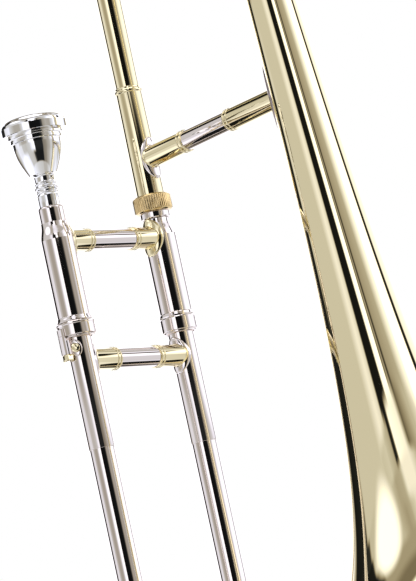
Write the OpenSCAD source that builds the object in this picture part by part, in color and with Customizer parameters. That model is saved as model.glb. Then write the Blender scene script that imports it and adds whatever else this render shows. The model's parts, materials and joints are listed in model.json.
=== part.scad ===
/* [Slide] */
// Distance between the axes of the two slide tubes
slide_gap = 85; // [82:0.5:92]
// Outside diameter of the outer slide tubes
outer_od = 14.3; // [14.1:0.1:14.6]
// Inside diameter of the outer slide tubes
outer_id = 13.7; // [13.7:0.05:13.8]
// Outside diameter of the inner slide tubes
inner_od = 13.1; // [13:0.05:13.2]
// Bore of the inner slide tubes
inner_bore = 12.5; // [12.3:0.05:12.6]
// Height of the axis of the end crook below the inner brace
crook_depth = 694; // [640:1:720]
// Outside diameter of the cork barrels
barrel_od = 19; // [18.5:0.1:19.4]
// Height of the outer brace below the inner brace
outer_brace_drop = 70; // [66:0.5:74]

/* [Mouthpiece] */
// Outside diameter of the mouthpiece rim
rim_od = 38.4; // [37:0.1:40]
// Inside diameter of the mouthpiece rim
rim_id = 25.4; // [24:0.1:27]
// Height of the rim above the end of the receiver
mouthpiece_rise = 52.4; // [50:0.1:56]

/* [Bell section] */
// Diameter over the bell rim
bell_d = 204; // [196:1:216]
// Angle between the bell axis and the slide, in degrees
bell_tilt = 4.75; // [3:0.25:6]
// Distance from the neck axis to the bell axis along the bell brace
bell_brace_len = 126.8; // [120:0.2:134]
// Height of the neck end of the bell brace above the inner brace
bell_brace_z = 46; // [44:0.5:50]
// Distance from the bell rim to the bell brace along the bell axis
rim_to_brace = 342; // [335:1:350]
// Wall thickness of the bell
bell_wall = 0.6; // [0.5:0.05:0.9]

/* [Tuning slide] */
// Distance from the bell rim to the axis of the tuning bow
bow_t = 598; // [590:1:620]
// Length of the tuning slide legs inside their receivers
leg_len = 78; // [60:1:82]

/* [Hidden] */
$fn = 72;
eps = 0.01;

brass = [0.80, 0.70, 0.42];
nickel = [0.80, 0.77, 0.75];
silver = [0.88, 0.88, 0.89];
cork_brown = [0.62, 0.45, 0.28];
rubber_black = [0.08, 0.08, 0.08];
steel = [0.6, 0.6, 0.62];

// Heights on the slide, measured up from the axis of the inner brace
tube_x = slide_gap / 2;
receiver_top = 20;
shoulder_top = 10;
shoulder_bottom = 2;
plug_bottom = -8;
seat_bottom = -14;
cork_bottom = -35;
outer_top = cork_bottom - 0.3;
collar_top = -45;
retainer_h = 2.8;
collar_bottom = -56;
barrel_bottom = -57;
sleeve_bottom = -122;
outer_brace_z = -outer_brace_drop;
crook_z = -crook_depth;
inner_end = crook_z + 12;
stocking_len = 120;

// Radii on the slide
outer_r = outer_od / 2;
outer_in_r = outer_id / 2;
inner_r = inner_od / 2;
bore_r = inner_bore / 2;
stocking_r = outer_in_r - 0.08;
sleeve_r = outer_r + 0.35;
barrel_r = barrel_od / 2;
barrel_bore_r = sleeve_r + 0.6;
receiver_r = 7.35;
leadpipe_r = 6.7;
ferrule_r = outer_r + 0.85;

// Braces
brace_r = 5.9;
brace_wall = 1;
socket_r = 6.4;
socket_grip = 7;
flange_t = 0.9;

// Slide lock, angles about the axis of the mouthpiece side
arm_angle = 170;
knob_angle = 206.4;
knob_z = -63.3;
knob_h = 5.2;
knob_w = 7.4;
knob_r = 10.45;
post_t = 0.8;
ring_gap = 0.08;
ring_r = 11.1;
ring_rim_r = 11.4;
ring_top = collar_top - retainer_h - 0.3;
ring_bottom = collar_bottom;
arm_w = 5.8;
arm_t = 1.4;
arm_bottom = -66.3;
tip_bottom = -70;

// Joint between slide and bell section
nut_z = 20;
nut_h = 10;
nut_r = 11.05;
nut_teeth = 52;
nut_groove = 0.5;
thread_r = 8.5;
tenon_top = nut_z + 1;
tenon_bottom = plug_bottom + 4;
tenon_top_r = 6.95;
tenon_bottom_r = 6.65;
tenon_fit = 0.05;
neck_shoulder_r = 8.4;
sleeve_top_z = 90;
neck_sleeve_low_r = 8.1;
neck_sleeve_high_r = 7.5;
neck_bead_r = 8.1;
neck_low_r = 6.75;
neck_high_r = 7.0;
neck_wall = 0.5;
neck_bend_r = 250;

// Bell flare: r = bell radius * (flare_k / (t + flare_k)) ^ flare_power at distance t from the rim
bell_r = bell_d / 2;
flare_k = 42;
flare_power = 0.85;
rim_wire_r = 1.6;
flare_end_t = 395;
tail_end_t = 478;
tail_r = 11.4;
tail_flat = 8;
flare_steps = 40;
seam_step = 19;
socket_left_end = 37.3;
socket_right_start = 71.4;

// Bell plane: x runs from the neck axis towards the bell
brace_end_x = bell_brace_len * cos(bell_tilt);
brace_end_z = bell_brace_z + bell_brace_len * sin(bell_tilt);
rim_x = brace_end_x + rim_to_brace * sin(bell_tilt);
rim_z = brace_end_z - rim_to_brace * cos(bell_tilt);
bend_end_x = -neck_bend_r * (1 - cos(bell_tilt));
bend_end_t = tail_end_t - rim_to_brace;
bend_end_z = brace_end_z + (bend_end_t + (bend_end_x - brace_end_x) * sin(bell_tilt)) / cos(bell_tilt);
neck_bend_z = bend_end_z - neck_bend_r * sin(bell_tilt);
leg_gap = (brace_end_x - bend_end_x) * cos(bell_tilt) + (brace_end_z - bend_end_z) * sin(bell_tilt);

// Tuning slide, measured along the bell axis from the rim
bell_receiver_in_r = 10.75;
neck_receiver_in_r = 7.45;
neck_receiver_r = 8.1;
receiver_end_t = 562;
leg_top_t = 564;
tuning_ferrule_len = 15;
leg_fit = 0.05;
leg_wall = 0.45;
bow_r = leg_gap / 2;
bow_wall = 0.7;
tuning_brace_t = 590;
upper_brace_t = 512;
weight_r = 12;
weight_len = 26;
screw_r = 1.6;

// Water key on the bell side of the crook
nipple_z = crook_z - 10;
nipple_x = tube_x + outer_r + 3.2;
nipple_r = 4;
nipple_bore_r = 2.4;
hinge_x = tube_x + outer_r + 6;
hinge_z = crook_z + 7;
pin_r = 1;
key_w = 6;
touch_z = hinge_z + 28;
touch_x = hinge_x + 6;

// Flat at the foot of the rubber tip
bumper_top = crook_z - tube_x - outer_r;
bumper_len = 4;
tip_len = 9;
tip_r = 6.5;
foot_r = 4.5;

function flare_radius(t) = bell_r * pow(flare_k / (t + flare_k), flare_power);
function flare_slope(t) = -flare_power * flare_radius(t) / (t + flare_k);
function flare_step(i) = flare_end_t * pow(i / flare_steps, 1.7);
function flare_inner(t) = let (s = flare_slope(t), k = bell_wall / sqrt(1 + s * s))
    [flare_radius(t) - k, t + k * s];
function oval(w, h) = [for (a = [0 : 7.5 : 352.5]) [w / 2 * cos(a), h / 2 * sin(a)]];
function zigzag(r, depth, n) = [for (i = [0 : 2 * n - 1])
    let (a = i * 180 / n, q = i % 2 == 0 ? r : r - depth) [q * cos(a), q * sin(a)]];

// ---- frames ----
module upper() {
    translate([-tube_x, 0, 0]) children();
}

module lower() {
    translate([tube_x, 0, 0]) children();
}

module both_tubes() {
    upper() children();
    lower() children();
}

module bell_plane() {
    lower() rotate([0, 0, -90]) children();
}

module bell_axis() {
    bell_plane() translate([rim_x, 0, rim_z]) rotate([0, -bell_tilt, 0]) children();
}

module neck_leg_axis() {
    bell_axis() translate([-leg_gap, 0, 0]) children();
}

module along_brace() {
    bell_plane() translate([0, 0, bell_brace_z]) rotate([0, 90 - bell_tilt, 0]) children();
}

// ---- shared shapes ----
module lathe(points) {
    rotate_extrude() polygon(points);
}

module pipe(r_out, r_in, z1, z2) {
    translate([0, 0, z1]) difference() {
        cylinder(h = z2 - z1, r = r_out);
        translate([0, 0, -eps]) cylinder(h = z2 - z1 + 2 * eps, r = r_in);
    }
}

// A plate bent round a tube along Z, with its middle towards +X
module saddle(r, t, w, h) {
    intersection() {
        difference() {
            cylinder(h = h + 2, r = r + t, center = true);
            cylinder(h = h + 4, r = r, center = true);
        }
        rotate([90, 0, 90]) linear_extrude(r + t + 1) polygon(oval(w, h));
    }
}

// A brace socket along +X from a tube along Z, hollow, with two beads at its mouth
module socket(tube_r, reach) {
    difference() {
        rotate([0, 90, 0]) union() {
            cylinder(h = reach - 4, r = socket_r);
            translate([0, 0, reach - 4]) cylinder(h = 1.6, r = socket_r + 0.45);
            translate([0, 0, reach - 2.4]) cylinder(h = 0.6, r = socket_r);
            translate([0, 0, reach - 1.8]) cylinder(h = 1.8, r = socket_r + 0.45);
        }
        rotate([0, 90, 0]) translate([0, 0, reach - socket_grip]) cylinder(h = socket_grip + 1, r = brace_r);
        rotate([0, 90, 0]) cylinder(h = reach, r = brace_r - brace_wall);
        cylinder(h = 4 * socket_r, r = tube_r, center = true);
    }
}

module brace_bar(x1, x2) {
    rotate([0, 90, 0]) pipe(brace_r, brace_r - brace_wall, x1, x2);
}

// ---- inner slide ----
module inner_tube(top) {
    pipe(inner_r, bore_r, inner_end, top);
}

module inner_tube_upper() {
    color(nickel) upper() inner_tube(plug_bottom);
}

module inner_tube_lower() {
    color(nickel) lower() inner_tube(tenon_bottom - 0.4);
}

module stockings() {
    color(nickel) both_tubes() pipe(stocking_r, inner_r, inner_end, inner_end + stocking_len);
}

module leadpipe() {
    taper_top_r = 6.25;
    taper_bottom_r = 5.55;
    taper_bottom_z = receiver_top - 28;
    color(brass) upper() lathe([
        [taper_top_r, receiver_top], [leadpipe_r, receiver_top], [leadpipe_r, plug_bottom],
        [bore_r, plug_bottom], [bore_r, -190], [bore_r - 0.25, -190], [5.2, -30],
        [taper_bottom_r, taper_bottom_z]]);
}

module mouthpiece_receiver() {
    color(nickel) upper() lathe([
        [leadpipe_r, plug_bottom], [receiver_r, plug_bottom], [receiver_r, receiver_top - 1],
        [receiver_r - 0.25, receiver_top], [leadpipe_r, receiver_top]]);
}

module cork_barrel() {
    lathe([
        [receiver_r, plug_bottom], [inner_r, plug_bottom], [inner_r, seat_bottom],
        [barrel_bore_r, seat_bottom], [barrel_bore_r, barrel_bottom + 1],
        [barrel_bore_r + 0.4, barrel_bottom], [barrel_r, barrel_bottom], [barrel_r, shoulder_bottom],
        [barrel_r - 0.5, shoulder_bottom + 1.8], [receiver_r + 0.35, shoulder_top - 0.8],
        [receiver_r, shoulder_top]]);
}

module cork_barrel_upper() {
    color(nickel) upper() cork_barrel();
}

module cork_barrel_lower() {
    color(nickel) lower() cork_barrel();
}

module barrel_corks() {
    color(cork_brown) both_tubes() pipe(barrel_bore_r, inner_r, cork_bottom, seat_bottom);
}

// The bead above the lock ring and the lip below it
module lock_ring_retainers() {
    color(nickel) upper() {
        lathe([
            [barrel_r, collar_top - retainer_h], [barrel_r + 0.9, collar_top - retainer_h],
            [barrel_r + 0.5, collar_top - 1], [barrel_r + 0.3, collar_top], [barrel_r, collar_top]]);
        pipe(barrel_r + 0.9, barrel_r, barrel_bottom, collar_bottom - 0.3);
    }
}

module barrel_collar_lower() {
    color(nickel) lower() lathe([
        [barrel_r, collar_bottom], [barrel_r + 0.7, collar_bottom], [barrel_r + 0.9, collar_bottom + 0.4],
        [barrel_r + 0.9, collar_top - 3.4], [barrel_r + 0.5, collar_top - 2.8],
        [barrel_r + 0.75, collar_top - 2], [barrel_r + 0.5, collar_top - 0.6], [barrel_r, collar_top]]);
}

module inner_brace_tube() {
    reach = tube_x - barrel_r - 9;
    color(nickel) brace_bar(-reach, reach);
}

module inner_brace_sockets() {
    color(brass) for (side = [0, 180]) rotate([0, 0, side]) translate([-tube_x, 0, 0]) {
        difference() {
            socket(barrel_r, barrel_r + 16);
            cylinder(h = 40, r = barrel_r + flange_t, center = true);
        }
        saddle(barrel_r, flange_t, 17, 22);
    }
}

module bell_receiver() {
    groove = 0.35;
    pitch = 1.2;
    color(nickel) lower() difference() {
        lathe([
            [inner_r, plug_bottom], [receiver_r, plug_bottom], [receiver_r, shoulder_top],
            [receiver_r, shoulder_top + 0.8], [thread_r, shoulder_top + 1.2],
            [thread_r + 0.2, shoulder_top + 1.6], [thread_r + 0.2, nut_z - nut_h / 2 - 0.4],
            [thread_r - groove, nut_z - nut_h / 2 - 0.4], [thread_r - groove, nut_z - nut_h / 2],
            [thread_r, nut_z - nut_h / 2 + 0.4], [thread_r, tenon_top - 0.6],
            [thread_r - groove, tenon_top - 0.3], [inner_r, tenon_top - 0.3]]);
        translate([0, 0, tenon_bottom - 0.3]) cylinder(
            h = tenon_top - tenon_bottom + 0.3,
            r1 = tenon_bottom_r + tenon_fit,
            r2 = tenon_top_r + tenon_fit);
        for (z = [nut_z - nut_h / 2 + 1.2 : pitch : tenon_top - 1.4]) {
            pipe(thread_r + 1, thread_r - groove, z, z + pitch / 2);
        }
    }
}

// ---- outer slide ----
module outer_tube() {
    pipe(outer_r, outer_in_r, crook_z, outer_top);
}

module outer_tube_upper() {
    color(nickel) upper() outer_tube();
}

module outer_tube_lower() {
    color(nickel) lower() outer_tube();
}

module outer_sleeve() {
    lathe([
        [outer_r, sleeve_bottom], [sleeve_r - 0.1, sleeve_bottom], [sleeve_r, sleeve_bottom + 0.6],
        [sleeve_r, outer_top], [outer_r, outer_top]]);
}

module outer_sleeve_upper() {
    color(nickel) upper() outer_sleeve();
}

module outer_sleeve_lower() {
    color(nickel) lower() outer_sleeve();
}

module outer_brace_tube() {
    reach = tube_x - sleeve_r - 12;
    color(nickel) translate([0, 0, outer_brace_z]) brace_bar(-reach, reach);
}

module outer_brace_sockets() {
    color(brass) for (side = [0, 180]) {
        rotate([0, 0, side]) translate([-tube_x, 0, outer_brace_z]) difference() {
            socket(sleeve_r, sleeve_r + 19);
            cylinder(h = 40, r = sleeve_r + flange_t, center = true);
        }
    }
}

module outer_brace_flanges() {
    color(nickel) for (side = [0, 180]) rotate([0, 0, side]) translate([-tube_x, 0, outer_brace_z]) {
        saddle(sleeve_r, flange_t, 14.2, 21.5);
    }
}

module lock_knob() {
    plate_r = sleeve_r + post_t;
    color(brass) upper() rotate([0, 0, knob_angle]) translate([plate_r, 0, knob_z]) rotate([0, 90, 0]) {
        intersection() {
            lathe([
                [0, 0], [1.7, 0], [1.7, 0.5], [knob_w / 2 - 0.3, 0.9], [knob_w / 2, 1.3],
                [knob_w / 2 - 0.2, 1.9], [knob_w / 2 - 0.9, knob_r - plate_r], [0, knob_r - plate_r]]);
            cube([knob_h, knob_w + 1, 8], center = true);
        }
    }
}

module lock_post() {
    color(nickel) upper() rotate([0, 0, knob_angle]) translate([0, 0, knob_z - 0.2]) {
        saddle(sleeve_r, post_t, 7, 10.5);
    }
}

module end_crook() {
    color(brass) difference() {
        crook_sweep() difference() {
            circle(outer_r);
            circle(outer_in_r);
        }
        translate([tube_x, 0, nipple_z]) rotate([0, 90, 0]) cylinder(h = 12, r = nipple_bore_r);
    }
}

module crook_ferrules() {
    ferrule_h = 15;
    color(nickel) both_tubes() translate([0, 0, crook_z]) lathe([
        [outer_r, 0.3], [ferrule_r - 0.4, 0.3], [ferrule_r, 0.9], [ferrule_r, 2.1], [ferrule_r - 0.4, 2.6],
        [ferrule_r - 0.4, ferrule_h - 2.6], [ferrule_r, ferrule_h - 2.1], [ferrule_r, ferrule_h - 0.9],
        [ferrule_r - 0.4, ferrule_h], [outer_r, ferrule_h]]);
}

module crook_sweep() {
    translate([0, 0, crook_z]) rotate([-90, 0, 0]) {
        rotate_extrude(angle = 180) translate([tube_x, 0]) children();
    }
}

module crook_bumper() {
    color(nickel) difference() {
        translate([0, 0, bumper_top - bumper_len]) union() {
            cylinder(h = bumper_len + 3, r = 5.2);
            cylinder(h = 1.2, r = tip_r);
        }
        crook_sweep() circle(outer_r);
    }
}

module rubber_tip() {
    color(rubber_black) translate([0, 0, bumper_top - bumper_len - tip_len]) lathe([
        [0, 0], [foot_r, 0], [foot_r + 1.2, 0.5], [tip_r - 0.2, 2], [tip_r, 3.5], [tip_r, tip_len - 0.8],
        [tip_r - 0.5, tip_len], [0, tip_len]]);
}

module water_key_nipple() {
    color(brass) difference() {
        translate([0, 0, nipple_z]) rotate([0, 90, 0]) translate([0, 0, tube_x + 2]) {
            cylinder(h = nipple_x - tube_x - 2, r = nipple_r);
        }
        crook_sweep() circle(outer_r);
        translate([tube_x, 0, nipple_z]) rotate([0, 90, 0]) cylinder(h = 20, r = nipple_bore_r);
    }
}

module water_key_bracket() {
    ear_t = 1.2;
    ear_y = key_w / 2 + 0.4;
    color(brass) lower() difference() {
        union() {
            for (side = [-1, 1]) translate([ferrule_r - 2.6, side * (ear_y + ear_t / 2), hinge_z]) {
                rotate([90, 0, 0]) translate([0, 0, -ear_t / 2]) linear_extrude(ear_t) {
                    translate([0, -3]) square([hinge_x - tube_x - ferrule_r + 2.6, 6]);
                    translate([hinge_x - tube_x - ferrule_r + 2.6, 0]) circle(3);
                }
            }
        }
        translate([0, 0, crook_z]) cylinder(h = 30, r = ferrule_r - 0.4);
        translate([hinge_x - tube_x, 0, hinge_z]) rotate([90, 0, 0]) {
            cylinder(h = 20, r = pin_r, center = true);
        }
    }
}

module water_key_pin() {
    pin_len = key_w + 5;
    color(steel) translate([hinge_x, 0, hinge_z]) rotate([90, 0, 0]) union() {
        cylinder(h = pin_len, r = pin_r, center = true);
        translate([0, 0, -pin_len / 2]) cylinder(h = 0.9, r = 1.9);
    }
}

module water_key_spring() {
    coil_r = 2.5;
    wire_r = 0.35;
    color(steel) translate([hinge_x, 0, hinge_z]) rotate([90, 0, 0]) for (i = [-1, 1]) for (k = [0 : 1]) {
        translate([0, 0, i * (1.2 + 0.85 * k)]) rotate_extrude() translate([coil_r, 0]) circle(wire_r);
    }
}

module water_key_lever() {
    cup_r = 4.8;
    color(brass) difference() {
        union() {
            translate([hinge_x, 0, hinge_z]) rotate([90, 0, 0]) cylinder(h = 1.4, r = 2, center = true);
            rotate([90, 0, 0]) linear_extrude(1.4, center = true) polygon([
                [nipple_x + 3.3, nipple_z - 2], [nipple_x + 5, nipple_z - 2], [hinge_x + 1.9, hinge_z - 2.5],
                [hinge_x + 3, hinge_z], [hinge_x + 3.6, hinge_z + 3], [touch_x + 0.7, touch_z - 9],
                [touch_x - 0.9, touch_z - 9], [hinge_x + 1.6, hinge_z + 2.6], [hinge_x, hinge_z - 1.4],
                [hinge_x - 0.6, hinge_z - 4]]);
            translate([nipple_x + 1.6, 0, nipple_z]) rotate([0, 90, 0]) cylinder(h = 2.2, r = cup_r);
            translate([touch_x - 0.9, 0, touch_z - 7]) rotate([0, 90, 0]) {
                linear_extrude(1.6) polygon(oval(20, key_w + 3));
            }
        }
        translate([hinge_x, 0, hinge_z]) rotate([90, 0, 0]) cylinder(h = 20, r = pin_r + 0.05, center = true);
        translate([nipple_x, 0, nipple_z]) rotate([0, 90, 0]) cylinder(h = 2.6, r = cup_r - 0.7);
    }
}

module water_key_cork() {
    color(cork_brown) translate([nipple_x + 0.3, 0, nipple_z]) rotate([0, 90, 0]) cylinder(h = 2.3, r = 4.1);
}

// ---- slide lock ----
module slide_lock_ring() {
    hole_r = barrel_r + ring_gap;
    color(nickel) upper() {
        lathe([
            [hole_r, ring_bottom], [ring_r - 0.3, ring_bottom], [ring_r, ring_bottom + 0.3],
            [ring_r, ring_top - 1.6], [ring_rim_r, ring_top - 1.1], [ring_rim_r, ring_top - 0.5],
            [ring_r - 0.2, ring_top], [hole_r, ring_top]]);
        rotate([0, 0, arm_angle]) intersection() {
            translate([ring_r - 1.2, -arm_w / 2, arm_bottom]) {
                cube([arm_t + 2, arm_w, ring_top - 3 - arm_bottom]);
            }
            union() {
                pipe(ring_r + arm_t, ring_r, arm_bottom - 1, ring_bottom + 0.5);
                pipe(ring_r + arm_t, ring_r - 1, ring_bottom + 0.5, ring_top);
            }
        }
    }
}

module slide_lock_tip() {
    color(brass) upper() rotate([0, 0, arm_angle]) difference() {
        translate([sleeve_r, -arm_w / 2, tip_bottom]) {
            cube([ring_r + arm_t - sleeve_r - 0.3, arm_w, arm_bottom - tip_bottom]);
        }
        translate([0, 0, tip_bottom - 1]) cylinder(h = 10, r = sleeve_r + post_t + 0.4);
    }
}

// ---- mouthpiece ----
module mouthpiece() {
    top = receiver_top + mouthpiece_rise;
    rim_r = rim_od / 2;
    cup_r = rim_id / 2;
    outside = [
        [4.9, receiver_top - 26], [5.55, receiver_top - 26], [6.18, receiver_top - 0.2],
        [6.15, receiver_top + 6.6], [6.6, receiver_top + 7.3], [6.7, receiver_top + 8.5],
        [6.3, receiver_top + 9.6], [6.9, receiver_top + 10.4], [7.1, receiver_top + 11.9],
        [6.7, receiver_top + 13.2], [6.2, receiver_top + 13.5], [6.6, receiver_top + 14.1],
        [6.5, receiver_top + 14.9], [5.9, receiver_top + 15.3], [5.8, receiver_top + 17.2],
        [6.4, receiver_top + 18.3]];
    cup = [for (i = [0 : 8]) [6.4 + 7.8 * sin(10 * i + 10), receiver_top + 18.3 + 2.55 * i]];
    rings = [
        [14.4, receiver_top + 39.3], [15.1, receiver_top + 39.7], [15.1, receiver_top + 40.5],
        [14.6, receiver_top + 40.9], [15.8, receiver_top + 41.3], [15.8, receiver_top + 42.2],
        [15.3, receiver_top + 42.6], [16.7, receiver_top + 43], [16.7, receiver_top + 43.7],
        [16.3, receiver_top + 44], [rim_r - 0.3, receiver_top + 44], [rim_r, receiver_top + 44.4],
        [rim_r, receiver_top + 49.4], [rim_r - 0.5, receiver_top + 50.9], [rim_r - 1.6, top - 0.35],
        [rim_r - 3, top], [cup_r + 1.2, top - 0.3], [cup_r + 0.3, top - 1.1], [cup_r, top - 2.4]];
    bowl = [for (i = [1 : 8]) let (a = i * 10) [cup_r * cos(a) + 0.6 * sin(a), top - 2.4 - 21.5 * sin(a)]];
    throat = [[3.4, top - 26.5], [3.2, top - 29], [3.2, top - 32]];
    color(silver) upper() lathe(concat(outside, cup, rings, bowl, throat));
}

// ---- bell section ----
module neck_tenon() {
    color(nickel) lower() {
        lathe([
            [bore_r, tenon_bottom], [tenon_bottom_r, tenon_bottom], [tenon_top_r, tenon_top],
            [neck_shoulder_r, tenon_top], [neck_shoulder_r, tenon_top + 1.2], [bore_r, tenon_top + 1.2]]);
    }
}

module neck_sleeve() {
    low = tenon_top + 1.2;
    color(brass) lower() {
        lathe([
            [neck_low_r, low], [neck_sleeve_low_r, low], [neck_sleeve_high_r, sleeve_top_z - 3.4],
            [neck_bead_r, sleeve_top_z - 2.9], [neck_bead_r, sleeve_top_z - 1.7],
            [neck_sleeve_high_r + 0.1, sleeve_top_z - 1.2], [neck_sleeve_high_r, sleeve_top_z],
            [neck_low_r, sleeve_top_z]]);
    }
}

module neckpipe() {
    low = tenon_top + 1.2;
    color(brass) lower() lathe([
        [neck_low_r - neck_wall, low], [neck_low_r, low], [neck_low_r, sleeve_top_z],
        [neck_high_r, neck_bend_z], [neck_high_r - neck_wall, neck_bend_z],
        [neck_low_r - neck_wall, sleeve_top_z]]);
}

module gooseneck() {
    color(brass) bell_plane() translate([-neck_bend_r, 0, neck_bend_z]) rotate([90, 0, 0]) {
        rotate_extrude(angle = bell_tilt) translate([neck_bend_r, 0]) difference() {
            circle(neck_high_r);
            circle(neck_high_r - neck_wall);
        }
    }
}

module neck_brace_saddle() {
    sleeve_mid_r = neck_sleeve_low_r - 0.2;
    color(nickel) bell_plane() translate([0, 0, bell_brace_z]) difference() {
        saddle(sleeve_mid_r + 0.05, flange_t + 0.2, 12.8, 25);
        translate([0, 0, -bell_brace_z]) cylinder(
            h = sleeve_top_z, r1 = neck_sleeve_low_r + 0.24, r2 = neck_sleeve_high_r);
    }
}

module bell_brace_sockets() {
    neck_stop_r = neck_sleeve_low_r + 0.05 + flange_t;
    bell_stop = bell_brace_len - flare_radius(rim_to_brace) - flange_t - 0.6;
    color(brass) {
        difference() {
            along_brace() rotate([0, -90, 0]) socket(1, socket_left_end);
            bell_plane() cylinder(h = 120, r = neck_stop_r);
        }
        along_brace() translate([0, 0, bell_brace_len]) rotate([0, 90, 0]) {
            difference() {
                socket(1, bell_brace_len - socket_right_start);
                cylinder(h = 60, r = bell_brace_len - bell_stop, center = true);
            }
        }
    }
}

module bell_brace_tube() {
    color(nickel) along_brace() pipe(
        brace_r, brace_r - brace_wall, socket_left_end - socket_grip, socket_right_start + socket_grip);
}

module bell_brace_flange() {
    stop_r = flare_radius(rim_to_brace) + flange_t + 0.6;
    color(nickel) difference() {
        bell_axis() translate([0, 0, rim_to_brace]) rotate([0, 0, 180]) saddle(1, stop_r - 1, 24, 37);
        bell_axis() bell_body();
    }
}

// The bell with its inside filled
module bell_body() {
    lathe(concat(
        [[0, 0]],
        [for (i = [0 : flare_steps]) [flare_radius(flare_step(i)), flare_step(i)]],
        [[tail_r, tail_end_t - tail_flat], [tail_r, tail_end_t], [0, tail_end_t]]));
}

// The spun flare, as far as the seam
module bell() {
    color(brass) bell_axis() lathe(concat(
        [for (i = [0 : seam_step]) [flare_radius(flare_step(i)), flare_step(i)]],
        [for (i = [seam_step : -1 : 0]) flare_inner(flare_step(i))]));
}

// The rest of the bell, from the seam to the tuning slide receiver
module bell_stem() {
    color(brass) bell_axis() lathe(concat(
        [for (i = [seam_step : flare_steps]) [flare_radius(flare_step(i)), flare_step(i)]],
        [[tail_r, tail_end_t - tail_flat], [tail_r, tail_end_t], [tail_r - bell_wall, tail_end_t],
         [tail_r - bell_wall, tail_end_t - tail_flat]],
        [for (i = [flare_steps : -1 : seam_step]) flare_inner(flare_step(i))]));
}

module bell_rim_wire() {
    color(brass) bell_axis() difference() {
        rotate_extrude() translate([bell_r - rim_wire_r, rim_wire_r + 0.1]) circle(rim_wire_r);
        bell_body();
    }
}

module upper_brace_tube() {
    reach = 9;
    color(nickel) neck_leg_axis() translate([0, 0, upper_brace_t]) brace_bar(
        neck_receiver_r + reach, leg_gap - tail_r - reach);
}

module upper_brace_flanges() {
    color(brass) {
        neck_leg_axis() translate([0, 0, upper_brace_t]) {
            saddle(neck_receiver_r, flange_t, 13, 20);
            difference() {
                socket(neck_receiver_r, neck_receiver_r + 16);
                cylinder(h = 40, r = neck_receiver_r + flange_t, center = true);
            }
        }
        bell_axis() translate([0, 0, upper_brace_t]) rotate([0, 0, 180]) {
            saddle(tail_r, flange_t, 16, 20);
            difference() {
                socket(tail_r, tail_r + 16);
                cylinder(h = 40, r = tail_r + flange_t, center = true);
            }
        }
    }
}

module tuning_receivers() {
    color(nickel) {
        neck_leg_axis() pipe(neck_receiver_r, neck_receiver_in_r, tail_end_t, receiver_end_t);
        bell_axis() pipe(tail_r, bell_receiver_in_r, tail_end_t, receiver_end_t);
    }
}

module receiver_ferrules() {
    low = tail_end_t - 7;
    high = tail_end_t + 7;
    neck_low = tail_end_t - 2.5;
    color(nickel) {
        neck_leg_axis() lathe([
            [neck_high_r + 0.02, neck_low], [neck_high_r + 0.6, neck_low],
            [neck_receiver_r + 0.9, tail_end_t],
            [neck_receiver_r + 0.9, high - 1], [neck_receiver_r + 0.5, high], [neck_receiver_r, high],
            [neck_receiver_r, tail_end_t], [neck_high_r + 0.02, tail_end_t]]);
        bell_axis() lathe([
            [tail_r, low], [tail_r + 0.5, low], [tail_r + 0.9, low + 1], [tail_r + 0.9, high - 1],
            [tail_r + 0.5, high], [tail_r, high]]);
    }
}

// ---- tuning slide ----
module tuning_legs() {
    bottom_t = receiver_end_t - leg_len;
    top_t = leg_top_t + 10;
    neck_r = neck_receiver_in_r - leg_fit;
    bell_side_r = bell_receiver_in_r - leg_fit;
    color(nickel) {
        neck_leg_axis() pipe(neck_r, neck_r - leg_wall, bottom_t, top_t);
        bell_axis() pipe(bell_side_r, bell_side_r - leg_wall, bottom_t, top_t);
    }
}

module leg_ferrule(r) {
    lathe([
        [r, leg_top_t], [r + 1, leg_top_t], [r + 1.5, leg_top_t + 0.8], [r + 1.5, leg_top_t + 2.6],
        [r + 1, leg_top_t + 3.4], [r + 1, leg_top_t + tuning_ferrule_len - 2.4],
        [r + 1.5, leg_top_t + tuning_ferrule_len - 1.6], [r + 1.1, leg_top_t + tuning_ferrule_len],
        [r, leg_top_t + tuning_ferrule_len]]);
}

module tuning_ferrules() {
    color(nickel) {
        neck_leg_axis() leg_ferrule(neck_receiver_in_r - leg_fit);
        bell_axis() leg_ferrule(bell_receiver_in_r - leg_fit);
    }
}

// A U-shaped tube whose legs reach down by the given drop, and whose radius changes round the bend
module tapered_bow(r_start, r_end, wall, drop, sides, rings) {
    turns = concat([0], [for (i = [0 : rings]) 180 * i / rings], [180]);
    last = len(turns) - 1;
    points = [for (skin = [0, wall]) for (i = [0 : last]) for (j = [0 : sides - 1])
        let (
            turn = turns[i],
            low = i == 0 || i == last ? drop : 0,
            around = 360 * j / sides,
            q = r_start + (r_end - r_start) * turn / 180 - skin,
            reach = bow_r + q * cos(around))
        [reach * cos(turn), q * sin(around), reach * sin(turn) - low]];
    layer = (last + 1) * sides;
    outer = [for (i = [0 : last - 1]) for (j = [0 : sides - 1])
        [i * sides + j, (i + 1) * sides + j, (i + 1) * sides + (j + 1) % sides, i * sides + (j + 1) % sides]];
    inner = [for (f = outer) [f[3] + layer, f[2] + layer, f[1] + layer, f[0] + layer]];
    start = [for (j = [0 : sides - 1]) [j, (j + 1) % sides, (j + 1) % sides + layer, j + layer]];
    finish = [for (f = start) [for (k = [3 : -1 : 0]) f[k] + last * sides]];
    polyhedron(points, concat(outer, inner, start, finish), convexity = 6);
}

module tuning_bow() {
    color(brass) bell_axis() translate([-leg_gap / 2, 0, bow_t]) tapered_bow(
        bell_receiver_in_r - leg_fit, neck_receiver_in_r - leg_fit, bow_wall, bow_t - leg_top_t - 10, 28, 32);
}

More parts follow.
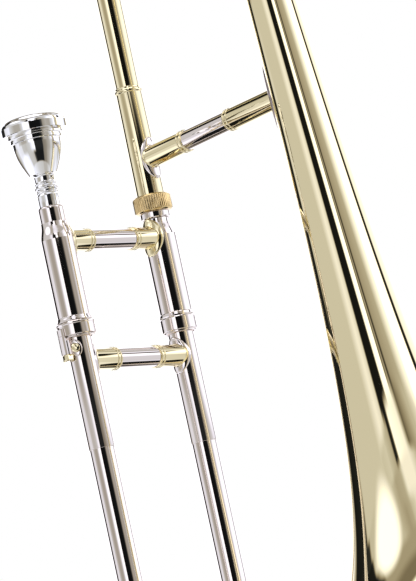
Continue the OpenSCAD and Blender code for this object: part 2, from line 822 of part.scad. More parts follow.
module tuning_brace() {
    neck_r = neck_receiver_in_r - leg_fit;
    bell_side_r = bell_receiver_in_r - leg_fit;
    bar_r = 4;
    color(nickel) neck_leg_axis() translate([0, 0, tuning_brace_t]) {
        saddle(neck_r, flange_t, 11, 15);
        translate([leg_gap, 0, 0]) rotate([0, 0, 180]) saddle(bell_side_r, flange_t, 13, 15);
        difference() {
            rotate([0, 90, 0]) cylinder(h = leg_gap, r = bar_r);
            cylinder(h = 20, r = neck_r + flange_t / 2, center = true);
            translate([leg_gap, 0, 0]) cylinder(h = 20, r = bell_side_r + flange_t / 2, center = true);
        }
    }
}

module counterweight() {
    color(brass) neck_leg_axis() translate([leg_gap / 2 - weight_len / 2, 0, tuning_brace_t]) {
        rotate([0, 90, 0]) difference() {
            lathe([
                [4, 0], [weight_r - 2.4, 0], [weight_r - 0.8, 0.6], [weight_r, 2.2],
                [weight_r, weight_len - 2.2],
                [weight_r - 0.8, weight_len - 0.6], [weight_r - 2.4, weight_len], [4, weight_len]]);
            translate([0, 0, weight_len / 2]) rotate([-90, 0, 0]) cylinder(h = 20, r = screw_r);
        }
    }
}

module counterweight_screw() {
    color(steel) neck_leg_axis() translate([leg_gap / 2, 0, tuning_brace_t]) {
        rotate([-90, 0, 0]) difference() {
            union() {
                translate([0, 0, 4.1]) cylinder(h = weight_r - 3.6, r = screw_r);
                translate([0, 0, weight_r]) cylinder(h = 1.6, r = 3);
            }
            translate([-4, -0.4, weight_r + 0.9]) cube([8, 0.8, 2]);
        }
    }
}

// ---- lock nut ----
module lock_nut() {
    low = nut_z - nut_h / 2;
    high = nut_z + nut_h / 2;
    roof_z = tenon_top + 1.5;
    edge = 1.3;
    color(brass) lower() difference() {
        intersection() {
            translate([0, 0, low]) linear_extrude(nut_h) polygon(zigzag(nut_r, nut_groove, nut_teeth));
            lathe([[0, low], [nut_r - edge, low], [nut_r + 0.1, low + edge], [nut_r + 0.1, high - edge],
                   [nut_r - edge, high], [0, high]]);
        }
        translate([0, 0, low - 1]) cylinder(h = roof_z - low + 1, r = thread_r + 0.1);
        translate([0, 0, roof_z - 1]) cylinder(h = nut_h, r = neck_sleeve_low_r + 0.1);
    }
}

inner_tube_upper();
inner_tube_lower();
stockings();
leadpipe();
mouthpiece_receiver();
cork_barrel_upper();
cork_barrel_lower();
barrel_corks();
lock_ring_retainers();
barrel_collar_lower();
inner_brace_tube();
inner_brace_sockets();
bell_receiver();
outer_tube_upper();
outer_tube_lower();
outer_sleeve_upper();
outer_sleeve_lower();
outer_brace_tube();
outer_brace_sockets();
outer_brace_flanges();
lock_knob();
lock_post();
end_crook();
crook_ferrules();
crook_bumper();
rubber_tip();
water_key_nipple();
water_key_bracket();
water_key_pin();
water_key_spring();
water_key_lever();
water_key_cork();
slide_lock_ring();
slide_lock_tip();
mouthpiece();
neck_tenon();
neck_sleeve();
neckpipe();
gooseneck();
neck_brace_saddle();
bell_brace_sockets();
bell_brace_tube();
bell_brace_flange();
bell();
bell_stem();
bell_rim_wire();
upper_brace_tube();
upper_brace_flanges();
tuning_receivers();
receiver_ferrules();
tuning_legs();
tuning_ferrules();
tuning_bow();
tuning_brace();
counterweight();
counterweight_screw();
lock_nut();
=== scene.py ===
import json
import math

import bmesh
import bpy
from mathutils import Matrix, Vector


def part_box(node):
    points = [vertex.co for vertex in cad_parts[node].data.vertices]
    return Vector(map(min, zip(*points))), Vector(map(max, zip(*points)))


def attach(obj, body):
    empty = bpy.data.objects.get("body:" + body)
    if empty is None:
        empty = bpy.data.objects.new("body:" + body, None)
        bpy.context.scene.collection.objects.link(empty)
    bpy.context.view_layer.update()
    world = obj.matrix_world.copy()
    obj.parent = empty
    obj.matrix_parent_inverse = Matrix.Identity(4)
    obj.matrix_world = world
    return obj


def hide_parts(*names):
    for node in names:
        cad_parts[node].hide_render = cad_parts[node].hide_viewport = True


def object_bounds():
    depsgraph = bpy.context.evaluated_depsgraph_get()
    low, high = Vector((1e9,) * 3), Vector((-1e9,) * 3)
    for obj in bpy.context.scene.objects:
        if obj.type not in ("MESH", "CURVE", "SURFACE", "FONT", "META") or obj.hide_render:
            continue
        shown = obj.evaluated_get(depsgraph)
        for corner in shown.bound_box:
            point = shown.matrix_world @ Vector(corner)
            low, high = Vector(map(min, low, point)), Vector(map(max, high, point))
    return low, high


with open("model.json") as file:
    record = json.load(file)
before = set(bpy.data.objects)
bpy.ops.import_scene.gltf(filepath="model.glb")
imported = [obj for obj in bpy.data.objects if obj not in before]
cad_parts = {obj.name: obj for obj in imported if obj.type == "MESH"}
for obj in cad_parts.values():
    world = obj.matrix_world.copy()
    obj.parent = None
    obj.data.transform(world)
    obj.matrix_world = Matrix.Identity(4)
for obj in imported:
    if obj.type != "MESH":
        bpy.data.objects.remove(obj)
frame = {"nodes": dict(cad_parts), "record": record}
cad_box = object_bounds()

MM = 0.001

# ---------------------------------------------------------------- measures, in mm, the same as the CAD part's
TUBE_X = 42.5
OUTER_R, OUTER_IN_R, INNER_R, BORE_R = 7.15, 6.85, 6.55, 6.25
OUTER_TOP, CROOK_Z = -35.3, -694.0
SLEEVE_R, SLEEVE_BOTTOM = 7.5, -122.0
BARREL_R, RECEIVER_R, LEADPIPE_R = 9.5, 7.35, 6.7
BARREL_BORE_R = SLEEVE_R + 0.6
RECEIVER_TOP = 20.0
OUTER_BRACE_Z = -70.0
BRACE_R, BRACE_WALL, SOCKET_R = 5.9, 1.0, 6.4
FERRULE_R = OUTER_R + 0.85

NUT_Z, NUT_H, NUT_R = 20.0, 10.0, 11.05
NUT_TEETH, NUT_GROOVE = 52, 0.5
THREAD_R, TENON_TOP = 8.5, 21.0
SLEEVE_TOP_Z = 90.0
NECK_LOW_R, NECK_HIGH_R, NECK_WALL, NECK_BEND_R = 6.75, 7.0, 0.5, 250.0

BELL_TILT = math.radians(4.75)
BELL_BRACE_Z, BELL_BRACE_LEN, RIM_TO_BRACE = 46.0, 126.8, 342.0
BELL_R, BELL_WALL, FLARE_K, FLARE_POWER = 102.0, 0.6, 42.0, 0.85
RIM_WIRE_R, FLARE_END_T, TAIL_T, TAIL_R = 1.6, 395.0, 478.0, 11.4
SOCKET_LEFT_END, SOCKET_RIGHT_START = 37.3, 71.4

BELL_IN_R, NECK_IN_R, NECK_REC_R, LEG_FIT, LEG_WALL = 10.75, 7.45, 8.1, 0.05, 0.45
RECEIVER_END_T, LEG_TOP_T, BOW_T, BOW_WALL = 562.0, 564.0, 598.0, 0.7
UPPER_BRACE_T, TUNING_BRACE_T = 512.0, 590.0
WEIGHT_R, WEIGHT_LEN = 12.0, 26.0

BRACE_END_X = BELL_BRACE_LEN * math.cos(BELL_TILT)
BRACE_END_Z = BELL_BRACE_Z + BELL_BRACE_LEN * math.sin(BELL_TILT)
RIM_X = BRACE_END_X + RIM_TO_BRACE * math.sin(BELL_TILT)
RIM_Z = BRACE_END_Z - RIM_TO_BRACE * math.cos(BELL_TILT)
BEND_END_X = -NECK_BEND_R * (1 - math.cos(BELL_TILT))
BEND_END_Z = BRACE_END_Z + (TAIL_T - RIM_TO_BRACE + (BEND_END_X - BRACE_END_X) * math.sin(BELL_TILT)) / math.cos(BELL_TILT)
NECK_BEND_Z = BEND_END_Z - NECK_BEND_R * math.sin(BELL_TILT)
LEG_GAP = (BRACE_END_X - BEND_END_X) * math.cos(BELL_TILT) + (BRACE_END_Z - BEND_END_Z) * math.sin(BELL_TILT)


def shift(x, y, z):
    return Matrix.Translation(Vector((x, y, z)) * MM)


UPPER = shift(-TUBE_X, 0, 0)
LOWER = shift(TUBE_X, 0, 0)
BELL_PLANE = LOWER @ Matrix.Rotation(math.radians(-90), 4, "Z")
BELL_AXIS = BELL_PLANE @ shift(RIM_X, 0, RIM_Z) @ Matrix.Rotation(-BELL_TILT, 4, "Y")
NECK_LEG = BELL_AXIS @ shift(-LEG_GAP, 0, 0)
# the brace rises a little less than square to the bell
BRACE_LEAN = math.radians(1.6)
ALONG_BRACE = BELL_PLANE @ shift(0, 0, BELL_BRACE_Z) @ Matrix.Rotation(math.pi / 2 - BELL_TILT + BRACE_LEAN, 4, "Y")


# ---------------------------------------------------------------- camera
AZIMUTH, ELEVATION = math.radians(-48), math.radians(-9.06)
BACK = Vector((math.sin(AZIMUTH) * math.cos(ELEVATION), -math.cos(AZIMUTH) * math.cos(ELEVATION), math.sin(ELEVATION)))
RIGHT_0 = Vector((math.cos(AZIMUTH), math.sin(AZIMUTH), 0))
UP_0 = BACK.cross(RIGHT_0).normalized()
ROLL = (0.9773, 0.2120)
RIGHT = (RIGHT_0 * ROLL[0] - UP_0 * ROLL[1]).normalized()
UP = (RIGHT_0 * ROLL[1] + UP_0 * ROLL[0]).normalized()
SCALE = 1731.0
NUT_CENTRE = Vector((TUBE_X, 0, NUT_Z)) * MM
DISTANCE = 4.0


def make_camera():
    aim = NUT_CENTRE + RIGHT * (55.4 / SCALE) - UP * (86.0 / SCALE)
    data = bpy.data.cameras.new("camera")
    data.sensor_fit = "AUTO"
    data.sensor_width = 36
    data.lens = 36 * DISTANCE / (581 / SCALE)
    data.clip_start, data.clip_end = 0.1, 100
    camera = bpy.data.objects.new("camera", data)
    rotation = Matrix((RIGHT, UP, BACK)).transposed().to_4x4()
    camera.matrix_world = Matrix.Translation(aim + BACK * DISTANCE) @ rotation
    bpy.context.scene.collection.objects.link(camera)
    bpy.context.scene.camera = camera


make_camera()
bpy.context.scene.view_settings.view_transform = "Standard"
bpy.context.scene.view_settings.look = "None"


# ---------------------------------------------------------------- node helpers
class Nodes:
    """Short calls for building a shader node tree."""

    def __init__(self, tree):
        self.tree = tree

    def add(self, kind, inputs=None, **values):
        n = self.tree.nodes.new(kind)
        for k, v in values.items():
            setattr(n, k, v)
        for k, v in (inputs or {}).items():
            if isinstance(v, bpy.types.NodeSocket):
                self.tree.links.new(v, n.inputs[k])
            else:
                n.inputs[k].default_value = v
        return n

    def math(self, operation, a, b=0.0, c=0.0, clamp=False):
        return self.add("ShaderNodeMath", {0: a, 1: b, 2: c}, operation=operation, use_clamp=clamp).outputs[0]

    def ramp(self, value, stops, interpolation="LINEAR"):
        n = self.add("ShaderNodeValToRGB", {0: value})
        r = n.color_ramp
        r.interpolation = interpolation
        while len(r.elements) < len(stops):
            r.elements.new(0.5)
        for e, (place, colour) in zip(r.elements, stops):
            e.position = place
            e.color = (*colour, 1) if isinstance(colour, tuple) else (colour, colour, colour, 1)
        return n.outputs[0]


# ---------------------------------------------------------------- studio
# Soft boxes with dark flags between them stand round the object. Each row of the studio is a list of panels:
# (where it starts, in degrees from behind the camera towards the right of the picture, its brightness there,
# its brightness where the next panel starts).
CAMERA_SIDE = math.radians(222)
GROUND_ROW = [
    (-180, 0.4, 0.3), (-158, 0.008, 0.012), (-90, 0.8, 0.9), (-60, 1.0, 0.72), (-20, 0.7, 0.6), (20, 0.5, 0.5),
    (44, 0.55, 0.9), (75, 0.9, 0.7), (104, 0.01, 0.01), (158, 0.3, 0.4),
]
UNDER_ROW = [
    (-180, 1.4, 1.4), (-112, 1.2, 1.4), (-70, 1.2, 0.9), (-52, 0.62, 0.6), (-34, 0.6, 0.5), (-21, 0.12, 0.03),
    (-13, 0.012, 0.012), (29, 0.2, 0.28), (46, 0.36, 0.5), (62, 0.6, 0.9), (88, 0.8, 0.8), (106, 1.0, 1.4),
]
LOW_ROW = [
    (-180, 1.6, 1.6), (-150, 0.3, 0.1), (-138, 0.1, 0.3), (-124, 0.5, 0.8), (-104, 0.95, 0.85), (-74, 0.62, 0.56),
    (-50, 0.6, 0.66), (-32, 0.8, 1.4), (-10, 0.02, 0.02), (30, 0.2, 0.28), (48, 0.34, 0.48), (66, 0.6, 0.9),
    (108, 0.75, 0.5), (126, 0.8, 1.4),
]
EYE_ROW = [
    (-180, 1.7, 1.7), (-144, 0.015, 0.02), (-117, 0.85, 1.0), (-90, 0.75, 0.45), (-68, 0.42, 0.42), (-46, 0.5, 0.75),
    (-35, 1.1, 1.7), (-12, 0.006, 0.008), (27, 0.03, 0.08), (34, 0.30, 0.45), (48, 0.42, 0.40), (62, 0.55, 0.9),
    (76, 1.2, 1.7), (118, 1.3, 0.9), (138, 0.13, 0.13), (152, 1.7, 1.7),
]
BELL_ROW = [
    (-180, 1.6, 1.6), (-146, 0.8, 0.4), (-139, 0.01, 0.02), (-109, 0.70, 0.70), (-50, 0.78, 1.08), (-36, 1.1, 0.9),
    (-25, 0.01, 0.012), (-3, 1.6, 2.0), (9.5, 0.03, 0.03), (12.5, 0.45, 0.4), (16, 0.02, 0.04), (20.5, 0.38, 0.5),
    (43, 0.5, 1.5), (67, 2.0, 2.0), (99, 0.012, 0.02), (111, 1.2, 2.0),
]
SHOULDER_ROW = [
    (-180, 0.9, 0.9), (-132, 0.015, 0.03), (-105, 0.62, 0.68), (-70, 0.72, 0.72), (-48, 0.68, 0.74),
    (-34, 0.66, 0.5), (-21, 0.015, 0.02), (-13, 1.5, 1.2), (10, 0.9, 0.12), (19, 0.2, 0.34), (28, 0.38, 0.6),
    (42, 0.6, 0.95), (60, 1.2, 1.2),
]
HIGH_ROW = [
    (-180, 0.3, 0.3), (-132, 0.01, 0.015), (-103, 0.6, 0.68), (-60, 0.68, 0.66), (-43, 0.64, 0.46),
    (-31, 0.46, 0.5), (-18.5, 0.6, 0.95), (-12, 1.1, 1.1), (10, 1.0, 0.6), (26, 0.5, 0.6),
]
TOP_ROW = [
    (-180, 0.1, 0.1), (-134, 0.008, 0.01), (-92, 0.4, 0.66), (-60, 0.66, 0.6), (-40, 0.55, 0.42), (-28, 0.4, 0.5),
    (-16, 0.62, 0.8), (-5, 0.9, 1.0), (20, 1.0, 0.6),
]
CEILING, ZENITH, OVERHEAD, PIT = 0.4, 0.2, 2.2, 0.8
# one oval lamp high on the left: where it is, its half width and half height, in degrees
LAMP_SIDE, LAMP_UP, LAMP_WIDE, LAMP_TALL, LAMP_LEVEL = -71, 40, 25, 9.5, 1.8
EDGE = 1.3


def make_world():
    world = bpy.data.worlds.new("studio")
    bpy.context.scene.world = world
    world.use_nodes = True
    tree = world.node_tree
    tree.nodes.clear()
    n = Nodes(tree)
    way = n.add("ShaderNodeTexCoord").outputs["Generated"]
    x, y, z = n.add("ShaderNodeSeparateXYZ", {0: way}).outputs
    angle = n.math("ARCTAN2", y, x)
    turned = n.math("WRAP", n.math("SUBTRACT", angle, CAMERA_SIDE), math.pi, -math.pi)
    across = n.math("MULTIPLY_ADD", turned, 1 / math.tau, 0.5)
    height = n.math("ARCSINE", z)

    def row(panels):
        stops = []
        for i, (start, first, last) in enumerate(panels):
            end = panels[i + 1][0] if i + 1 < len(panels) else 180
            stops += [(start + EDGE * (i > 0), first), (end - EDGE * (end < 180), last)]
        return n.ramp(across, [((d + 180) / 360, level) for d, level in stops])

    def above(below, over, start, end):
        part = n.add("ShaderNodeMapRange", {0: height, 1: math.radians(start), 2: math.radians(end)},
                     interpolation_type="SMOOTHSTEP")
        return n.add("ShaderNodeMix", {0: part.outputs[0], 6: below, 7: over}, data_type="RGBA").outputs[2]

    level = above((PIT,) * 3 + (1,), row(GROUND_ROW), -64, -60)
    for panels, start, end in ((UNDER_ROW, -36.5, -34), (LOW_ROW, -22, -10), (EYE_ROW, 1, 5), (BELL_ROW, 11.4, 12.4),
                               (SHOULDER_ROW, 27.5, 29.6), (HIGH_ROW, 33.5, 35.5), (TOP_ROW, 39, 43)):
        level = above(level, row(panels), start, end)
    level = above(level, (CEILING,) * 3 + (1,), 47, 51)
    level = above(level, (ZENITH,) * 3 + (1,), 54, 60)
    level = above(level, (OVERHEAD,) * 3 + (1,), 65, 70)
    degree = 180 / math.pi
    aside = n.math("MULTIPLY_ADD", turned, degree / LAMP_WIDE, -LAMP_SIDE / LAMP_WIDE)
    aloft = n.math("MULTIPLY_ADD", height, degree / LAMP_TALL, -LAMP_UP / LAMP_TALL)
    reach = n.math("SQRT", n.math("ADD", n.math("MULTIPLY", aside, aside), n.math("MULTIPLY", aloft, aloft)))
    glow = n.add("ShaderNodeMapRange", {0: reach, 1: 1.35, 2: 0.7}, interpolation_type="SMOOTHSTEP").outputs[0]
    level = n.add("ShaderNodeMix", {0: glow, 6: level, 7: (LAMP_LEVEL,) * 3 + (1,)}, data_type="RGBA").outputs[2]
    # dim panels are warm and the brightest ones slightly cool
    warmth = n.ramp(n.math("MULTIPLY", level, 0.5), [
        (0.0, (0.9, 1.0, 1.1)), (0.04, (1.05, 1.0, 0.9)), (0.10, (1.13, 1.0, 0.8)), (0.32, (1.0, 1.0, 1.0)), (0.5, (0.98, 1.0, 1.14)),
        (1.0, (1.0, 1.0, 1.06))])
    light = n.add("ShaderNodeMix", {0: 1.0, 6: level, 7: warmth}, data_type="RGBA", blend_type="MULTIPLY").outputs[2]
    studio = n.add("ShaderNodeBackground", {"Color": light, "Strength": 1.0})
    backdrop = n.add("ShaderNodeBackground", {"Color": (1, 1, 1, 1), "Strength": 1.0})
    camera_ray = n.add("ShaderNodeLightPath").outputs["Is Camera Ray"]
    shown = n.add("ShaderNodeMixShader", {0: camera_ray, 1: studio.outputs[0], 2: backdrop.outputs[0]})
    n.add("ShaderNodeOutputWorld", {"Surface": shown.outputs[0]})
    world.cycles.sampling_method = "MANUAL"
    world.cycles.sample_map_resolution = 1024


make_world()


# ---------------------------------------------------------------- materials
def metal(name, colour, deep, roughness, grain=(1, 1, 1), wear=0.5, coat=0.0, bump=0.02):
    """A polished metal: slow colour drift, hairline scratches along `grain`, soft smears and pin marks."""
    m = bpy.data.materials.new("finish_" + name)
    m["slot"] = name
    m.use_nodes = True
    m.node_tree.nodes.clear()
    n = Nodes(m.node_tree)
    place = n.add("ShaderNodeTexCoord").outputs["Object"]
    drift = n.add("ShaderNodeTexNoise", {"Vector": place, "Scale": 14.0, "Detail": 3.0, "Roughness": 0.5}).outputs[0]
    smear = n.add("ShaderNodeTexNoise", {"Vector": place, "Scale": 55.0, "Detail": 4.0, "Distortion": 0.6}).outputs[0]
    stretched = n.add("ShaderNodeMapping", {"Vector": place, "Scale": grain}).outputs[0]
    hair = n.add("ShaderNodeTexNoise", {"Vector": stretched, "Scale": 900.0, "Detail": 2.0}).outputs[0]
    pits = n.add("ShaderNodeTexVoronoi", {"Vector": place, "Scale": 700.0, "Randomness": 1.0}).outputs["Distance"]
    tone = n.math("MULTIPLY_ADD", n.math("SUBTRACT", drift, 0.5), 0.9 * wear, 0.25, clamp=True)
    base = n.add("ShaderNodeMix", {0: tone, 6: (*colour, 1), 7: (*deep, 1)}, data_type="RGBA").outputs[2]
    rough = n.math("MULTIPLY_ADD", n.math("SUBTRACT", smear, 0.5), 0.10 * wear, roughness)
    rough = n.math("MULTIPLY_ADD", n.math("SUBTRACT", hair, 0.5), 0.06 * wear, rough, clamp=True)
    speck = n.math("MULTIPLY", n.math("LESS_THAN", pits, 0.10), 0.3)
    relief = n.math("ADD", n.math("MULTIPLY", hair, 0.5), speck)
    bumped = n.add("ShaderNodeBump", {"Height": relief, "Strength": bump, "Distance": 0.0002}).outputs[0]
    shader = n.add("ShaderNodeBsdfPrincipled", {
        "Base Color": base, "Metallic": 1.0, "Roughness": rough, "Normal": bumped,
        "Coat Weight": coat, "Coat Roughness": 0.04, "Coat IOR": 1.5})
    n.add("ShaderNodeOutputMaterial", {"Surface": shader.outputs[0]})
    return m


def matt(name, colour, deep, roughness, scale, bump, spec=0.4):
    """A cork or rubber surface: mottled colour and a grainy relief."""
    m = bpy.data.materials.new("finish_" + name)
    m["slot"] = name
    m.use_nodes = True
    m.node_tree.nodes.clear()
    n = Nodes(m.node_tree)
    place = n.add("ShaderNodeTexCoord").outputs["Object"]
    mottle = n.add("ShaderNodeTexNoise", {"Vector": place, "Scale": scale, "Detail": 5.0}).outputs[0]
    cells = n.add("ShaderNodeTexVoronoi", {"Vector": place, "Scale": scale * 2.5}).outputs["Distance"]
    tone = n.math("MULTIPLY_ADD", n.math("SUBTRACT", mottle, 0.5), 2.2, 0.5, clamp=True)
    base = n.add("ShaderNodeMix", {0: tone, 6: (*colour, 1), 7: (*deep, 1)}, data_type="RGBA").outputs[2]
    rough = n.math("MULTIPLY_ADD", mottle, 0.2, roughness, clamp=True)
    relief = n.math("ADD", n.math("MULTIPLY", cells, 0.6), mottle)
    bumped = n.add("ShaderNodeBump", {"Height": relief, "Strength": bump, "Distance": 0.0003}).outputs[0]
    shader = n.add("ShaderNodeBsdfPrincipled", {
        "Base Color": base, "Roughness": rough, "Normal": bumped, "Specular IOR Level": spec})
    n.add("ShaderNodeOutputMaterial", {"Surface": shader.outputs[0]})
    return m


LONG = (1, 1, 0.02)
NICKEL = metal("nickel_silver", (0.84, 0.775, 0.73), (0.78, 0.71, 0.665), 0.022, LONG, 0.3, bump=0.006)
# a darker copy of the nickel with painted shade: its colour stands in for the dark surroundings reflected in the bell
# saddle
PAINTED_SHADE_NICKEL = metal("nickel_silver", (0.42, 0.36, 0.36), (0.28, 0.24, 0.24), 0.05, LONG, 0.4, bump=0.006)
CHROME = metal("chromed_tube", (0.84, 0.80, 0.77), (0.78, 0.73, 0.69), 0.02, LONG, 0.25, bump=0.006)
SILVER = metal("silver_plate", (0.93, 0.925, 0.91), (0.88, 0.865, 0.84), 0.02, (1, 1, 1), 0.3, bump=0.006)
BRASS = metal("lacquered_brass", (0.88, 0.785, 0.51), (0.83, 0.72, 0.43), 0.02, LONG, 0.3, coat=0.1, bump=0.006)
KNURL = metal("knurled_brass", (0.79, 0.60, 0.31), (0.60, 0.42, 0.17), 0.06, (1, 1, 1), 0.4, bump=0.01)
STEEL = metal("steel", (0.62, 0.62, 0.63), (0.48, 0.48, 0.49), 0.18, (1, 1, 1), 0.8)
CORK = matt("cork", (0.50, 0.31, 0.16), (0.30, 0.17, 0.08), 0.75, 500.0, 0.5)
RUBBER = matt("rubber", (0.012, 0.012, 0.013), (0.022, 0.022, 0.023), 0.45, 350.0, 0.25)
SLOT = {"nickel_silver": NICKEL, "chromed_tube": CHROME, "silver_plate": SILVER, "lacquered_brass": BRASS,
        "knurled_brass": KNURL, "steel": STEEL, "cork": CORK, "rubber": RUBBER}


# ---------------------------------------------------------------- shapes
NODE_BODY = {node: body for body, nodes in frame["record"]["behaviour"]["bodies"].items() for node in nodes}
NONE = Matrix.Identity(4)


def rounded(profile, radius=0.25, steps=3, smallest=20):
    """The closed outline (r, z) with every corner sharper than `smallest` degrees rounded."""
    out = []
    count = len(profile)
    for i in range(count):
        before, here, after = (Vector(profile[(i + k) % count]) for k in (-1, 0, 1))
        a, b = before - here, after - here
        if a.length < 1e-6 or b.length < 1e-6:
            continue
        turn = math.degrees(a.angle(-b))
        if turn < smallest or here.x < 1e-6:
            out.append(tuple(here))
            continue
        cut = min(radius * math.tan(math.radians(turn) / 2), a.length * 0.45, b.length * 0.45)
        start, end = here + a.normalized() * cut, here + b.normalized() * cut
        # a point close outside each end of the rounding keeps the shading of the long faces even
        if a.length > 4 * cut:
            out.append(tuple(start + a.normalized() * 0.3 * cut))
        for k in range(steps + 1):
            t = k / steps
            out.append(tuple(start * (1 - t) ** 2 + here * 2 * t * (1 - t) + end * t ** 2))
        if b.length > 4 * cut:
            out.append(tuple(end + b.normalized() * 0.3 * cut))
    return out


class Shape:
    """One mesh made of turned and swept parts, all in millimetres."""

    def __init__(self):
        self.bm = bmesh.new()

    def rings(self, rings, matrix=NONE, loop=False):
        """A skin over a list of closed rings of points. A ring of one point closes the skin."""
        made = [[self.bm.verts.new(matrix @ (Vector(p) * MM)) for p in ring] for ring in rings]
        pairs = list(zip(made, made[1:] + made[:1])) if loop else list(zip(made, made[1:]))
        for a, b in pairs:
            count = max(len(a), len(b))
            for i in range(count):
                j = (i + 1) % count
                corners = [a[i % len(a)], a[j % len(a)], b[j % len(b)], b[i % len(b)]]
                unique = list(dict.fromkeys(corners))
                if len(unique) > 2:
                    self.bm.faces.new(unique)
        return self

    def lathe(self, profile, matrix=NONE, sides=96, radius=0.25, steps=3):
        """A closed outline (r, z) turned round Z."""
        outline = rounded(profile, radius, steps) if radius else list(profile)
        on_axis = [i for i, p in enumerate(outline) if p[0] < 1e-6]
        if on_axis:
            # start and end at the axis, so the two poles close the solid
            outline = outline[on_axis[0]:] + outline[:on_axis[0]]
            while len(outline) > 1 and outline[1][0] < 1e-6:
                outline = outline[1:] + outline[:1]
        rings = []
        for r, z in outline:
            if r < 1e-6:
                rings.append([(0, 0, z)])
            else:
                rings.append([(r * math.cos(math.tau * i / sides), r * math.sin(math.tau * i / sides), z) for i in range(sides)])
        return self.rings(rings, matrix, loop=not on_axis)

    def pipe(self, r_out, r_in, z1, z2, matrix=NONE, sides=96, radius=0.15, stations=1):
        out = [(r_out, z1 + (z2 - z1) * i / stations) for i in range(stations + 1)]
        inside = [(r_in, z2 - (z2 - z1) * i / stations) for i in range(stations + 1)]
        return self.lathe(out + inside, matrix, sides, radius)

    def saddle(self, radius_at, t, w, h, matrix=NONE, sides=72):
        """A thin domed oval plate bent round a tube along Z, with its middle towards +X."""
        layers = [(0.0, 1.0), (0.3, 1.0), (0.55, 1.0), (0.75, 1.0), (0.86, 0.98), (0.93, 0.90),
                  (0.975, 0.72), (1.0, 0.40), (1.0, -0.05), (0.75, -0.05), (0.4, -0.05), (0.0, -0.05)]
        rings = []
        for scale, lift in layers:
            ring = []
            for i in range(sides):
                a = math.tau * i / sides
                y, z = scale * w / 2 * math.cos(a), scale * h / 2 * math.sin(a)
                q = radius_at(z) + t * lift
                ring.append((math.sqrt(max(q * q - y * y, 0.01)), y, z))
            rings.append(ring if scale > 0 else ring[:1])
        return self.rings(rings, matrix)

    def branch(self, profile, inside, start, matrix=NONE, sides=72):
        """An outline along +X from a surface: start(y, z) is where the surface is at that point of the socket.
        profile is the outside as (radius, x), from the surface out to the mouth; inside is the bore back to it."""
        rings = []
        for k, (r, x) in enumerate(profile + inside):
            ring = []
            for i in range(sides):
                a = math.tau * i / sides
                y, z = r * math.cos(a), r * math.sin(a)
                ring.append((start(y, z) + x if x < 4 and k < len(profile) else max(x, start(y, z)), y, z))
            rings.append(ring)
        return self.rings(rings, matrix, loop=True)

    def make(self, name, material, nodes, sharp=38):
        bm = self.bm
        bmesh.ops.recalc_face_normals(bm, faces=bm.faces)
        for f in bm.faces:
            f.smooth = True
        for e in bm.edges:
            if len(e.link_faces) == 2 and e.calc_face_angle(0) > math.radians(sharp):
                e.smooth = False
        mesh = bpy.data.meshes.new(name)
        bm.to_mesh(mesh)
        bm.free()
        o = bpy.data.objects.new(name, mesh)
        bpy.context.scene.collection.objects.link(o)
        o.data.materials.append(material)
        nodes = [name for name in nodes if name in frame["nodes"]]
        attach(o, NODE_BODY[nodes[0]])
        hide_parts(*nodes)
        return o


def socket(shape, matrix, surface, reach, root=0.0):
    """A brace socket along +X: a plain collar with two thin beads at its mouth."""
    profile = [(SOCKET_R + 0.5, -0.05), (SOCKET_R + 0.22, 0.25), (SOCKET_R + 0.06, 0.7), (SOCKET_R, 1.3)]
    mouth = [(SOCKET_R, reach - 4.0)]
    for centre in (reach - 3.3, reach - 1.0):
        mouth += [(SOCKET_R + 0.3 * math.sin(math.pi * i / 8), centre - 0.62 * math.cos(math.pi * i / 8)) for i in range(9)]
    mouth += [(SOCKET_R - 0.1, reach - 0.12), (BRACE_R + 0.1, reach), (BRACE_R, reach - 0.1)]
    inside = [(BRACE_R, reach - 6.9), (BRACE_R - 0.9, reach - 7.0), (BRACE_R - 1.0, root)]
    return shape.branch(profile + mouth, inside, surface, matrix)


def round_surface(radius):
    return lambda y, z: math.sqrt(radius * radius - y * y)


TURN_X = Matrix.Rotation(math.pi / 2, 4, "Y")      # Z of a turned part goes to +X
FLIP = Matrix.Rotation(math.pi, 4, "Z")


def flare_radius(t):
    return BELL_R * (FLARE_K / (t + FLARE_K)) ** FLARE_POWER


def bell_radius(t):
    if t <= FLARE_END_T:
        return flare_radius(t)
    end = flare_radius(FLARE_END_T)
    return TAIL_R + (end - TAIL_R) * max(0, (TAIL_T - 8 - t)) / (TAIL_T - 8 - FLARE_END_T)


def flare_inner(t):
    slope = -FLARE_POWER * flare_radius(t) / (t + FLARE_K)
    k = BELL_WALL / math.sqrt(1 + slope * slope)
    return flare_radius(t) - k, t + k * slope


# ---------------------------------------------------------------- bell
def make_bell():
    steps = [FLARE_END_T * (i / 150) ** 1.8 for i in range(151)]
    tail = [FLARE_END_T + (TAIL_T - 8 - FLARE_END_T) * i / 12 for i in range(1, 13)] + [TAIL_T]
    out = [(bell_radius(t), t) for t in steps + tail]
    inside = [(bell_radius(t) - BELL_WALL, t) for t in reversed(tail)] + [flare_inner(t) for t in reversed(steps)]
    Shape().lathe(out + inside, BELL_AXIS, sides=224, radius=0).make("bell_skin", BRASS, ["bell", "bell_stem"])
    wire = [(BELL_R - RIM_WIRE_R + RIM_WIRE_R * math.cos(a), 2.2 + RIM_WIRE_R * math.sin(a))
            for a in (math.tau * i / 24 for i in range(24))]
    Shape().lathe(wire, BELL_AXIS, sides=224, radius=0).make("bell_rim", BRASS, ["bell_rim_wire"])


make_bell()


